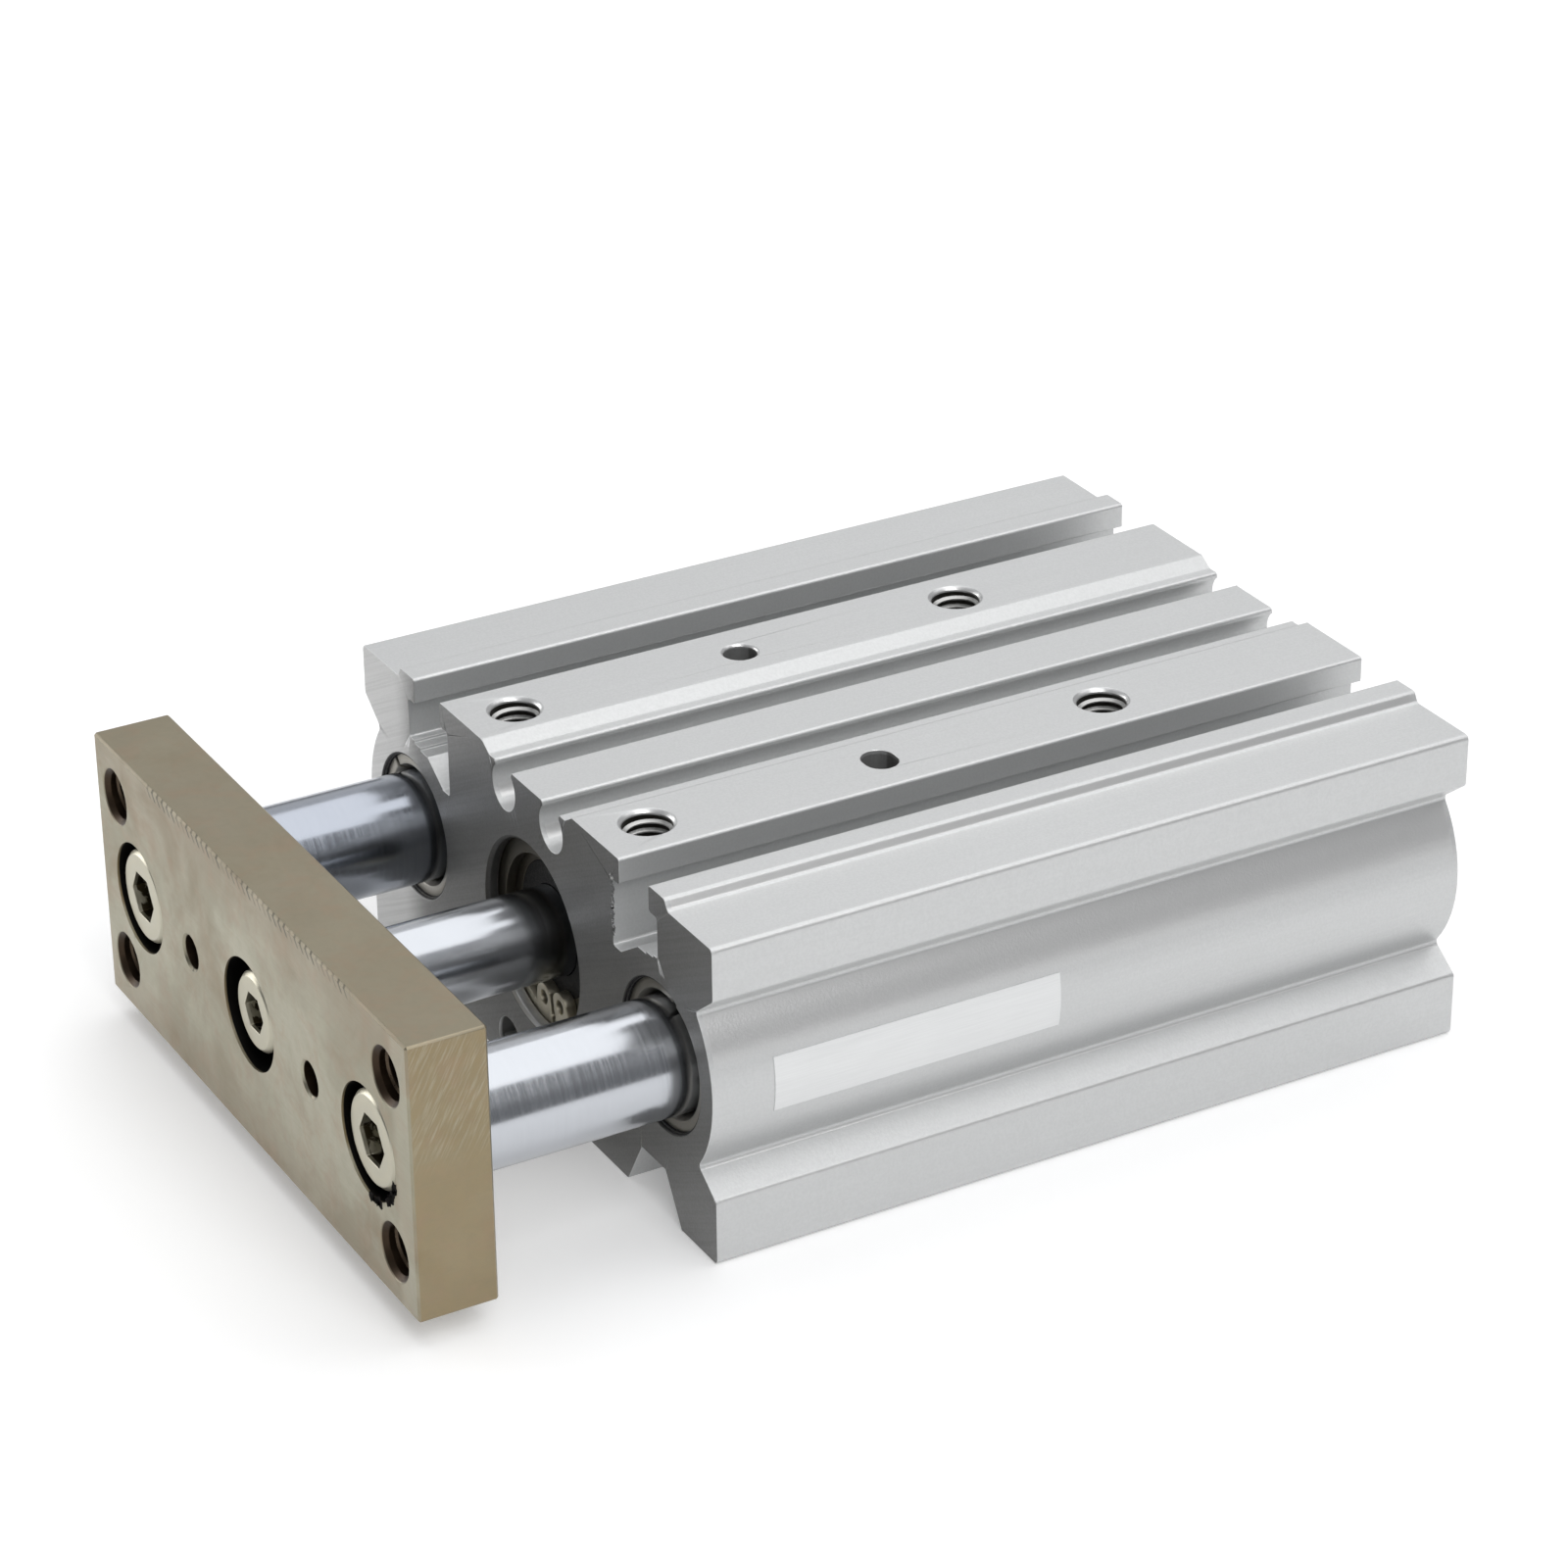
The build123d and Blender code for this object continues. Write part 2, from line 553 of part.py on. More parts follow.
def port_plug(y):
    """Short threaded plug with a hexagon socket that closes a side port."""
    start = SIDE_PORT_X + (SIDE_PORT_DEPTH - PLUG_LENGTH)
    body = along_x(M5_HOLE_DIA / 2 - SEAT_GAP, start, start + PLUG_LENGTH, y, SIDE_PORT_Z)
    socket = extrude(RegularPolygon(PLUG_SOCKET / 2, 6, major_radius=False), PLUG_SOCKET_DEPTH)
    return body - Pos(start, y, SIDE_PORT_Z) * Rot(Y=90) * socket


def front_plate():
    """Steel end plate with its counterbores, threaded corners and pin holes."""
    middle = (PLATE_FRONT + PLATE_BACK) / 2
    plate = Pos(0, middle, AXIS_Z) * Box(PLATE_WIDTH, PLATE_THICKNESS, PLATE_HEIGHT)
    plate = chamfer(plate.edges(), PLATE_EDGE)
    thread = M5_HOLE_DIA / 2
    mouth = M5_MOUTH_DIA / 2
    for x, dz in rectangle_places(PLATE_SPACING_X, PLATE_SPACING_Z):
        plate -= hole_along_y(thread, mouth, PLATE_FRONT, PLATE_THICKNESS + BEYOND, x, AXIS_Z + dz)
    for side in (-1, 1):
        plate -= hole_along_y(PLATE_PIN_DIA / 2, PLATE_PIN_DIA / 2 + DOWEL_CHAMFER, PLATE_FRONT,
                              PLATE_PIN_DEPTH, side * PLATE_PIN_SPACING / 2, AXIS_Z)
    counterbore = PLATE_COUNTERBORE_DIA / 2
    for x, head, sink, shank in bolt_places():
        plate -= tube(counterbore, 0, PLATE_FRONT - BEYOND, PLATE_FRONT + head + sink, x)
        plate -= tube(shank / 2 + BOLT_HOLE_GAP, 0, PLATE_FRONT, PLATE_BACK + BEYOND, x)
    return plate


def bolt_places():
    """Place across, head height, head sink and shank diameter of each plate bolt."""
    guide = (GUIDE_BOLT_HEAD, GUIDE_BOLT_SINK, M5_DIA)
    return [(-GUIDE_X, *guide), (0.0, ROD_BOLT_HEAD, ROD_BOLT_SINK, M4_DIA), (GUIDE_X, *guide)]


def socket_bolt(x, head_dia, head, sink, socket, shank_dia, length):
    """Socket head bolt that holds a rod against the back of the plate."""
    top = PLATE_FRONT + sink
    seat = top + head
    radius = head_dia / 2
    shank = shank_dia / 2 - THREAD_GAP
    bolt = turned([(0, top), (radius - BOLT_HEAD_CHAMFER, top), (radius, top + BOLT_HEAD_CHAMFER),
                   (radius, seat), (shank, seat), (shank, seat + length - BOLT_HEAD_CHAMFER),
                   (shank - BOLT_HEAD_CHAMFER, seat + length), (0, seat + length)], x)
    depth = head * SOCKET_DEPTH_SHARE
    hexagon = RegularPolygon(socket / 2, 6, major_radius=False)
    cutter = extrude(across(top + depth) * Pos(x, AXIS_Z) * hexagon, depth + BEYOND)
    return bolt - cutter


def guide_rod(x):
    """Hard chromed guide rod with a threaded front end."""
    rod = rod_shape(GUIDE_ROD_DIA / 2, PLATE_BACK, GUIDE_ROD_REAR, ROD_END_CHAMFER, x)
    engaged = GUIDE_BOLT_LENGTH - (PLATE_THICKNESS - GUIDE_BOLT_HEAD - GUIDE_BOLT_SINK)
    return rod - tube(M5_DIA / 2, 0, PLATE_BACK - BEYOND, PLATE_BACK + engaged + THREAD_RUNOUT, x)


def piston_rod():
    """Piston rod with a threaded front end and a thin spigot through the piston."""
    radius = PISTON_ROD_DIA / 2
    spigot = PISTON_SPIGOT_DIA / 2
    rod = turned([(0, PLATE_BACK), (radius - ROD_END_CHAMFER, PLATE_BACK),
                  (radius, PLATE_BACK + ROD_END_CHAMFER), (radius, PISTON_FRONT),
                  (spigot, PISTON_FRONT), (spigot, PISTON_REAR), (0, PISTON_REAR)])
    engaged = ROD_BOLT_LENGTH - (PLATE_THICKNESS - ROD_BOLT_HEAD - ROD_BOLT_SINK)
    return rod - tube(M4_DIA / 2, 0, PLATE_BACK - BEYOND, PLATE_BACK + engaged + THREAD_RUNOUT)


def piston():
    """Piston with one groove for its seal and one for the sensing magnet."""
    radius = BORE / 2 - RUNNING_GAP
    body = turned([(PISTON_SPIGOT_DIA / 2 + SEAT_GAP, PISTON_FRONT),
                   (radius - PISTON_EDGE, PISTON_FRONT), (radius, PISTON_FRONT + PISTON_EDGE),
                   (radius, PISTON_REAR - PISTON_EDGE), (radius - PISTON_EDGE, PISTON_REAR),
                   (PISTON_SPIGOT_DIA / 2 + SEAT_GAP, PISTON_REAR)])
    for start, width, depth in (seal_place(), magnet_place()):
        body -= tube(radius + BEYOND, radius - depth, start, start + width)
    return body


def seal_place():
    """Start, width and depth of the piston seal groove."""
    return PISTON_FRONT + PISTON_FRONT_LAND, PISTON_SEAL_WIDTH, PISTON_SEAL_DEPTH


def magnet_place():
    """Start, width and depth of the magnet groove."""
    start, width, _ = seal_place()
    return start + width + PISTON_MIDDLE_LAND, MAGNET_WIDTH, MAGNET_DEPTH


def piston_ring(place, below_surface):
    """Ring that fills a groove of the piston, its outside sunk by below_surface."""
    start, width, depth = place
    outer = BORE / 2 - RUNNING_GAP
    return tube(outer - below_surface, outer - depth + SEAT_GAP, start + SEAT_GAP,
                start + width - SEAT_GAP)


def rod_bushing():
    """Plain bearing of the piston rod."""
    inner = PISTON_ROD_DIA / 2 + RUNNING_GAP
    outer = PISTON_ROD_DIA / 2 + ROD_BUSHING_WALL
    return tube(outer, inner, COVER_REAR - ROD_BUSHING_LENGTH, COVER_REAR)


def rod_seal():
    """Seal round the piston rod, in the front pocket of the rod cover."""
    inner = PISTON_ROD_DIA / 2 + RUNNING_GAP
    return tube(ROD_SEAL_DIA / 2, inner, COVER_FRONT + SEAT_GAP,
                COVER_FRONT + ROD_SEAL_LENGTH - SEAT_GAP)


def front_bumper():
    """Soft stop between the rod cover and the piston."""
    clear = PISTON_ROD_DIA / 2 + BOLT_HOLE_GAP
    return tube(COVER_NOSE_DIA / 2, clear, COVER_REAR, PISTON_FRONT_STOP)


def rear_bumper():
    """Soft stop between the head cover and the piston."""
    return tube(REAR_BUMPER_DIA / 2, 0, HEAD_FRONT - REAR_BUMPER, HEAD_FRONT)


def guide_parts(side, seam_turn):
    """Rod, bushings and bolt of one guide."""
    x = GUIDE_X if side == "right" else -GUIDE_X
    front_start = FRONT_FACE + GUIDE_BUSHING_SETBACK
    inner_start = GUIDE_SOCKET_END - GUIDE_BUSHING_LENGTH
    return {
        f"guide_bushing_front_{side}": guide_bushing(x, front_start, seam_turn, True),
        f"guide_bushing_inner_{side}": guide_bushing(x, inner_start, seam_turn, False),
        f"guide_rod_{side}": guide_rod(x),
        f"guide_rod_bolt_{side}": socket_bolt(x, GUIDE_BOLT_HEAD_DIA, GUIDE_BOLT_HEAD,
                                              GUIDE_BOLT_SINK, GUIDE_BOLT_SOCKET, M5_DIA,
                                              GUIDE_BOLT_LENGTH),
    }


def all_parts():
    """Every piece by its name."""
    parts = {
        "body_block": body_block(),
        "rod_cover": rod_cover(),
        "rod_bushing": rod_bushing(),
        "rod_seal": rod_seal(),
        "rod_cover_oring": cover_oring(COVER_SHOULDER, COVER_FRONT),
        "rod_cover_retaining_ring": retaining_ring(FRONT_RING_Y, FRONT_RING_TURN),
        "front_bumper": front_bumper(),
        "head_cover": head_cover(),
        "head_cover_oring": cover_oring(HEAD_SHOULDER, HEAD_SHOULDER + HEAD_FLANGE),
        "head_cover_retaining_ring": retaining_ring(REAR_RING_Y, REAR_RING_TURN),
        "rear_bumper": rear_bumper(),
        "side_port_plug_front": port_plug(FRONT_PORT_Y),
        "side_port_plug_rear": port_plug(REAR_PORT_Y),
        "front_plate": front_plate(),
        "piston_rod": piston_rod(),
        "piston_rod_bolt": socket_bolt(0.0, ROD_BOLT_HEAD_DIA, ROD_BOLT_HEAD, ROD_BOLT_SINK,
                                       ROD_BOLT_SOCKET, M4_DIA, ROD_BOLT_LENGTH),
        "piston": piston(),
        "piston_seal": piston_ring(seal_place(), 0.0),
        "magnet_ring": piston_ring(magnet_place(), RUNNING_GAP),
    }
    parts.update(guide_parts("left", LEFT_SEAM_TURN))
    parts.update(guide_parts("right", RIGHT_SEAM_TURN))
    return parts


os.makedirs("parts", exist_ok=True)
for name, part in all_parts().items():
    part.label = name
    export_step(part, f"parts/{name}.step")
    print(f"{name}: {part.volume:.1f} mm3, {len(part.solids())} solid")
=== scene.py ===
"""Looks of the guided air cylinder: studio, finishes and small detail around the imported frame."""

import logging
import math
import random
from dataclasses import dataclass, field
from enum import Enum

import bmesh
import bpy
from mathutils import Matrix, Vector


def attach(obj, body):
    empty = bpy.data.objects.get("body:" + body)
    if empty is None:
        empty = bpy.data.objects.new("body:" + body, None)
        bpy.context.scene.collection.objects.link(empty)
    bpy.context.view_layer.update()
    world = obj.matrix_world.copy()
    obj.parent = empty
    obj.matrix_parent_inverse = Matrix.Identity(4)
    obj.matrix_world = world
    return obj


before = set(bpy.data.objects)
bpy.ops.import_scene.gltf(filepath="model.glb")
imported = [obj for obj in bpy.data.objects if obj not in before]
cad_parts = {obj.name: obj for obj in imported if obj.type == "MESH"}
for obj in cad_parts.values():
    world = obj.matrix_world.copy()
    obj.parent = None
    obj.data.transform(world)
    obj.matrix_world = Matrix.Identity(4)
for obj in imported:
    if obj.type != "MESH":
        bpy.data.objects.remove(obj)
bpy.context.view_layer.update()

LOG = logging.getLogger("guided_cylinder")
MM = 0.001
# Places on the part that several classes share, in millimetres.
BLOCK_FRONT, BLOCK_REAR, BLOCK_TOP = -27.0, 46.0, 30.0
PLATE_FRONT = -53.0
GUIDE_X, MIDDLE_Z = 23.0, 15.0
# How far a flat mark stands off the face it lies on, and how thick it is, in millimetres.
MARK_OFFSET, MARK_THICKNESS = 0.01, 0.03
# Steps of one turn of a wound thread and of a plain ring.
THREAD_STEPS, RING_STEPS = 40, 96
# What most of a noise's values lie between.
NOISE_RANGE = (0.3, 0.7)
Colour = tuple[float, float, float]
Point = tuple[float, float, float]
Node = bpy.types.Node
Socket = bpy.types.NodeSocket
Given = bpy.types.NodeOutputs


def srgb(red: float, green: float, blue: float) -> Colour:
    """Turns a display colour into the linear one that the shaders read.

    Args:
        red: Red, 0 to 255.
        green: Green, 0 to 255.
        blue: Blue, 0 to 255.

    Returns:
        The three linear values.
    """
    def linear(value: float) -> float:
        """One channel, made linear."""
        share = value / 255
        return share / 12.92 if share <= 0.04045 else ((share + 0.055) / 1.055) ** 2.4

    return linear(red), linear(green), linear(blue)


def mm(*values: float) -> Vector:
    """Turns a point given in millimetres into metres."""
    return Vector(values) * MM


def add_object(name: str, data: bpy.types.ID) -> bpy.types.Object:
    """Makes an object of its data and puts it into the scene."""
    made = bpy.data.objects.new(name, data)
    bpy.context.scene.collection.objects.link(made)
    return made


class Body(Enum):
    """The two bodies that pieces ride on."""

    BLOCK = "cylinder"
    CARRIAGE = "carriage"


class Axis(Enum):
    """The direction in which a hole opens or a face looks."""

    UP = (0, 0, 1)
    DOWN = (0, 0, -1)
    FRONT = (0, -1, 0)
    REAR = (0, 1, 0)
    RIGHT = (1, 0, 0)

    def turn(self) -> Matrix:
        """The rotation from +Z to this direction."""
        return Vector((0, 0, 1)).rotation_difference(Vector(self.value)).to_matrix().to_4x4()


@dataclass
class Graph:
    """Adds nodes to one tree, a material's or a node group's, and links them."""

    tree: bpy.types.NodeTree

    def add(self, kind: str, inputs: dict | None = None, **settings: object) -> Node:
        """Adds a node.

        Args:
            kind: The node's class, without the ShaderNode at its front.
            inputs: Socket name or number to a value, or to an output to link.
            **settings: Attributes of the node itself.

        Returns:
            The new node.
        """
        node = self.tree.nodes.new("ShaderNode" + kind)
        for name, value in settings.items():
            setattr(node, name, value)
        for name, value in (inputs or {}).items():
            self.feed(node.inputs[name], value)
        return node

    def feed(self, socket: Socket, value: object) -> None:
        """Links an output to a socket, or sets the socket's own value."""
        if isinstance(value, Socket):
            self.tree.links.new(value, socket)
        elif socket.type == "RGBA":
            socket.default_value = (*value[:3], 1)
        else:
            socket.default_value = value

    def calc(self, operation: str, *values: object, clamp: bool = False) -> Socket:
        """A Math node's result."""
        node = self.add("Math", dict(enumerate(values)), operation=operation, use_clamp=clamp)
        return node.outputs[0]

    def times(self, first: object, *others: object) -> Socket:
        """The product of two or more values."""
        for other in others:
            first = self.calc("MULTIPLY", first, other)
        return first

    def vector(self, operation: str, *values: object) -> Socket:
        """A Vector Math node's vector."""
        return self.add("VectorMath", dict(enumerate(values)), operation=operation).outputs["Vector"]

    def measure(self, operation: str, *values: object) -> Socket:
        """A Vector Math node's number, such as a length."""
        return self.add("VectorMath", dict(enumerate(values)), operation=operation).outputs["Value"]

    def place(self) -> Socket:
        """The place in the object's own space."""
        return self.add("TexCoord").outputs["Object"]

    def normal(self) -> Socket:
        """The surface's normal."""
        return self.add("NewGeometry").outputs["Normal"]

    def noise(self, place: Socket, size: object, **inputs: object) -> Socket:
        """Noise with features of about one size."""
        scale = self.calc("DIVIDE", 1.0, size)
        return self.add("TexNoise", {"Vector": place, "Scale": scale, **inputs}).outputs[0]

    def span(
        self, value: object, low: object, high: object, to_low: float = 0, to_high: float = 1
    ) -> Socket:
        """A value mapped smoothly from one range to another."""
        inputs = {"Value": value, "From Min": low, "From Max": high}
        inputs.update({"To Min": to_low, "To Max": to_high})
        return self.add("MapRange", inputs, interpolation_type="SMOOTHSTEP").outputs["Result"]

    def spread(self, noise: Socket, to_low: float = 0, to_high: float = 1) -> Socket:
        """A noise, whose values crowd in the middle, spread over a whole range."""
        return self.span(noise, *NOISE_RANGE, to_low, to_high)

    def blend(self, share: object, first: object, second: object) -> Socket:
        """Two colours mixed by a share."""
        return self.add("Mix", {0: share, 6: first, 7: second}, data_type="RGBA").outputs[2]

    def paint(self, tone: object, *layers: tuple) -> Socket:
        """Lays colours over a tone, one after another.

        Args:
            tone: The colour below them all.
            *layers: For each, the shares to multiply and then the colour.

        Returns:
            The tone with the layers on it.
        """
        for *shares, colour in layers:
            tone = self.blend(self.times(*shares), tone, colour)
        return tone

    def level(self, share: object, first: object, second: object) -> Socket:
        """Two numbers mixed by a share."""
        return self.add("Mix", {0: share, 2: first, 3: second}, data_type="FLOAT").outputs[0]


class Effect:
    """A shader node group that several finishes share, built once."""

    inputs: dict = {}

    @classmethod
    def group(cls) -> bpy.types.NodeTree:
        """The node group, made at its first use."""
        tree = bpy.data.node_groups.get(cls.__name__)
        if tree is None:
            tree = bpy.data.node_groups.new(cls.__name__, "ShaderNodeTree")
            for label, value in cls.inputs.items():
                kind = "NodeSocketVector" if isinstance(value, tuple) else "NodeSocketFloat"
                socket = tree.interface.new_socket(label, in_out="INPUT", socket_type=kind)
                socket.default_value = value
            tree.interface.new_socket("Value", in_out="OUTPUT", socket_type="NodeSocketFloat")
            made = cls.build(Graph(tree), tree.nodes.new("NodeGroupInput").outputs)
            tree.links.new(made, tree.nodes.new("NodeGroupOutput").inputs["Value"])
        return tree

    @classmethod
    def build(cls, graph: Graph, given: Given) -> Socket:
        """Makes the group's inside.

        Args:
            graph: The group's graph.
            given: The group's inputs.

        Returns:
            What the group gives out, 0 to 1.
        """
        raise NotImplementedError

    @classmethod
    def use(cls, graph: Graph, **values: object) -> Socket:
        """Places the group in a material.

        Args:
            graph: The material's graph.
            **values: The group's inputs.

        Returns:
            The group's output.
        """
        node = graph.tree.nodes.new("ShaderNodeGroup")
        node.node_tree = cls.group()
        for label, value in values.items():
            graph.feed(node.inputs[label], value)
        return node.outputs[0]


class Grain(Effect):
    """Fine even grain, as blasting or casting leaves it."""

    inputs = {"Size": 0.3 * MM, "Softness": 0.5}

    @classmethod
    def build(cls, graph: Graph, given: Given) -> Socket:
        """Noise in object space at the grain's size."""
        return graph.noise(graph.place(), given["Size"], Detail=3.0, Roughness=given["Softness"])


class Blotches(Effect):
    """Soft patches with uneven borders, for stains and uneven plating."""

    inputs = {"Size": 8 * MM, "Low": 0.4, "High": 0.65, "Offset": (0.0, 0.0, 0.0)}

    @classmethod
    def build(cls, graph: Graph, given: Given) -> Socket:
        """Warped noise, cut between two levels."""
        moved = graph.vector("ADD", graph.place(), given["Offset"])
        noise = graph.noise(moved, given["Size"], Detail=5.0, Roughness=0.6, Distortion=0.6)
        return graph.span(noise, given["Low"], given["High"])


class Streaks(Effect):
    """Straight marks: noise that is long one way and short the others."""

    inputs = {"Lengths": (0.2 * MM, 20 * MM, 0.2 * MM), "Turn": (0.0, 0.0, 0.0)}

    @classmethod
    def build(cls, graph: Graph, given: Given) -> Socket:
        """Noise on coordinates divided by a length for each axis."""
        inputs = {"Vector": graph.place(), "Rotation": given["Turn"]}
        turned = graph.add("VectorRotate", inputs, rotation_type="EULER_XYZ").outputs[0]
        shares = graph.vector("DIVIDE", turned, given["Lengths"])
        return graph.noise(shares, 1.0, Detail=4.0, Roughness=0.6)


class TurnedRings(Effect):
    """Rings round an axis along Y, as a lathe or a grinding wheel leaves them."""

    inputs = {"Centre": (0.0, 0.0, 15 * MM), "Pitch": 0.15 * MM}

    @classmethod
    def build(cls, graph: Graph, given: Given) -> Socket:
        """Noise on the radius and the length alone."""
        place = graph.place()
        out = graph.vector("MULTIPLY", graph.vector("SUBTRACT", place, given["Centre"]), (1, 0, 1))
        along = graph.add("SeparateXYZ", {0: place}).outputs["Y"]
        joined = graph.add("CombineXYZ", {0: graph.measure("LENGTH", out), 1: along}).outputs[0]
        return graph.noise(joined, given["Pitch"], Detail=2.0, Roughness=0.5)


class EdgeGlint(Effect):
    """A mask of the outer edges, where most finishes lay a painted highlight."""

    inputs = {"Radius": 0.2 * MM, "Break": 1.5 * MM}

    @classmethod
    def build(cls, graph: Graph, given: Given) -> Socket:
        """How far the rounded normal leaves the real one, broken up by noise."""
        rounded = graph.add("Bevel", {"Radius": given["Radius"]}, samples=6).outputs[0]
        edge = graph.span(graph.measure("DOT_PRODUCT", rounded, graph.normal()), 0.995, 0.86)
        noise = graph.noise(graph.place(), given["Break"], Detail=4.0)
        return graph.times(edge, graph.span(noise, 0.3, 0.6, 0.55, 1.0))


class Facing(Effect):
    """A mask of the faces that look one way."""

    inputs = {"Way": (0.0, -1.0, 0.0), "Limit": 0.8}

    @classmethod
    def build(cls, graph: Graph, given: Given) -> Socket:
        """The normal's share along the way, cut at the limit."""
        share = graph.measure("DOT_PRODUCT", graph.normal(), given["Way"])
        return graph.span(share, given["Limit"], graph.calc("ADD", given["Limit"], 0.1))


class RoundHole(Effect):
    """A mask of the inside of round holes, mirrored about a middle, that open to the front or up."""

    inputs = {
        "Middle": (0.0, 0.0, MIDDLE_Z * MM), "Centre": (0.0, 0.0, 0.0), "Flat": (1.0, 0.0, 1.0),
        "Radius": 2 * MM, "Way": (0.0, -1.0, 0.0), "Level": 0.0, "Softness": 0.1 * MM,
    }

    @classmethod
    def build(cls, graph: Graph, given: Given) -> Socket:
        """Near enough to the hole's axis and deeper than the level."""
        place = graph.place()
        folded = graph.vector("ABSOLUTE", graph.vector("SUBTRACT", place, given["Middle"]))
        out = graph.vector("MULTIPLY", graph.vector("SUBTRACT", folded, given["Centre"]), given["Flat"])
        near = graph.calc("LESS_THAN", graph.measure("LENGTH", out), given["Radius"])
        height = graph.measure("DOT_PRODUCT", place, given["Way"])
        below = graph.calc("SUBTRACT", given["Level"], given["Softness"])
        return graph.times(near, graph.span(height, given["Level"], below))


class Between(Effect):
    """A mask of what lies between two places along one direction."""

    inputs = {"Way": (0.0, 1.0, 0.0), "Low": 0.0, "High": MM, "Softness": 0.1 * MM}

    @classmethod
    def build(cls, graph: Graph, given: Given) -> Socket:
        """The place along the way, cut softly at both ends."""
        low, high, softness = given["Low"], given["High"], given["Softness"]
        along = graph.measure("DOT_PRODUCT", graph.place(), given["Way"])
        above = graph.span(along, graph.calc("SUBTRACT", low, softness), low)
        below = graph.span(along, graph.calc("ADD", high, softness), high)
        return graph.times(above, below)

    @classmethod
    def lay(cls, graph: Graph, way: Axis, low: float, high: float, softness: float = 0.1) -> Socket:
        """Places the group with its places in millimetres."""
        return cls.use(graph, Way=way.value, Low=low * MM, High=high * MM, Softness=softness * MM)


class Slopes(Effect):
    """A mask of steep surfaces, such as chamfers and the outer part of the upper rounded edges."""

    inputs = {"Steep": 0.2, "Flat": 0.8}

    @classmethod
    def build(cls, graph: Graph, given: Given) -> Socket:
        """The upward share of the normal, between steep and flat."""
        up = graph.measure("DOT_PRODUCT", graph.normal(), (0, 0, 1))
        leans = graph.span(up, given["Steep"], graph.calc("ADD", given["Steep"], 0.2))
        rises = graph.span(up, given["Flat"], graph.calc("SUBTRACT", given["Flat"], 0.1))
        return graph.times(leans, rises)


class Ticks(Effect):
    """Short slanted cuts side by side along X, such as a cutter leaves where it runs over an edge."""

    inputs = {"Pitch": MM, "Slant": 0.8, "Share": 0.45}

    @classmethod
    def build(cls, graph: Graph, given: Given) -> Socket:
        """A saw wave along X that leans with height, with each tooth of its own strength."""
        place = graph.add("SeparateXYZ", {0: graph.place()}).outputs
        leaned = graph.calc("ADD", place["X"], graph.times(place["Z"], given["Slant"]))
        steps = graph.calc("DIVIDE", leaned, given["Pitch"])
        wave = graph.calc("FRACT", steps)
        fall = graph.span(wave, given["Share"], graph.calc("SUBTRACT", given["Share"], 0.15))
        inputs = {"W": graph.calc("FLOOR", steps)}
        own = graph.add("TexWhiteNoise", inputs, noise_dimensions="1D").outputs["Value"]
        return graph.times(graph.span(wave, 0.0, 0.12), fall, graph.span(own, 0.0, 0.8, 0.35, 1.0))


@dataclass(frozen=True)
class Finish:
    """What every finish has: its record slot and the values set on the shader itself."""

    slot: str
    colour: Colour
    metallic: float = 1.0
    roughness: float = 0.4

    def material(self, name: str) -> bpy.types.Material:
        """Makes the material.

        Args:
            name: The material's name.

        Returns:
            The material, with this finish's pattern in it.
        """
        made = bpy.data.materials.new(name)
        made.use_nodes = True
        graph = Graph(made.node_tree)
        shader = next(n for n in made.node_tree.nodes if n.type == "BSDF_PRINCIPLED")
        shader.inputs["Metallic"].default_value = self.metallic
        self.pattern(graph, shader)
        return made

    def pattern(self, graph: Graph, shader: Node) -> None:
        """Feeds the shader; each finish has its own."""
        raise NotImplementedError

    def shade(self, amount: float) -> Colour:
        """The finish's colour, made lighter or darker."""
        return tuple(min(1.0, value * amount) for value in self.colour)

    @staticmethod
    def cover(
        graph: Graph, shader: Node, tone: Socket, rough: Socket, height: Socket, depth: float
    ) -> None:
        """Feeds the shader its colour, its roughness and a bumped normal.

        Args:
            graph: The material's graph.
            shader: The Principled node.
            tone: The colour.
            rough: The roughness.
            height: The height, 0 to 1.
            depth: The depth of a full step, in metres.
        """
        bump = graph.add("Bump", {"Height": height, "Distance": depth, "Strength": 1.0})
        for name, value in (("Base Color", tone), ("Roughness", rough), ("Normal", bump.outputs[0])):
            graph.feed(shader.inputs[name], value)


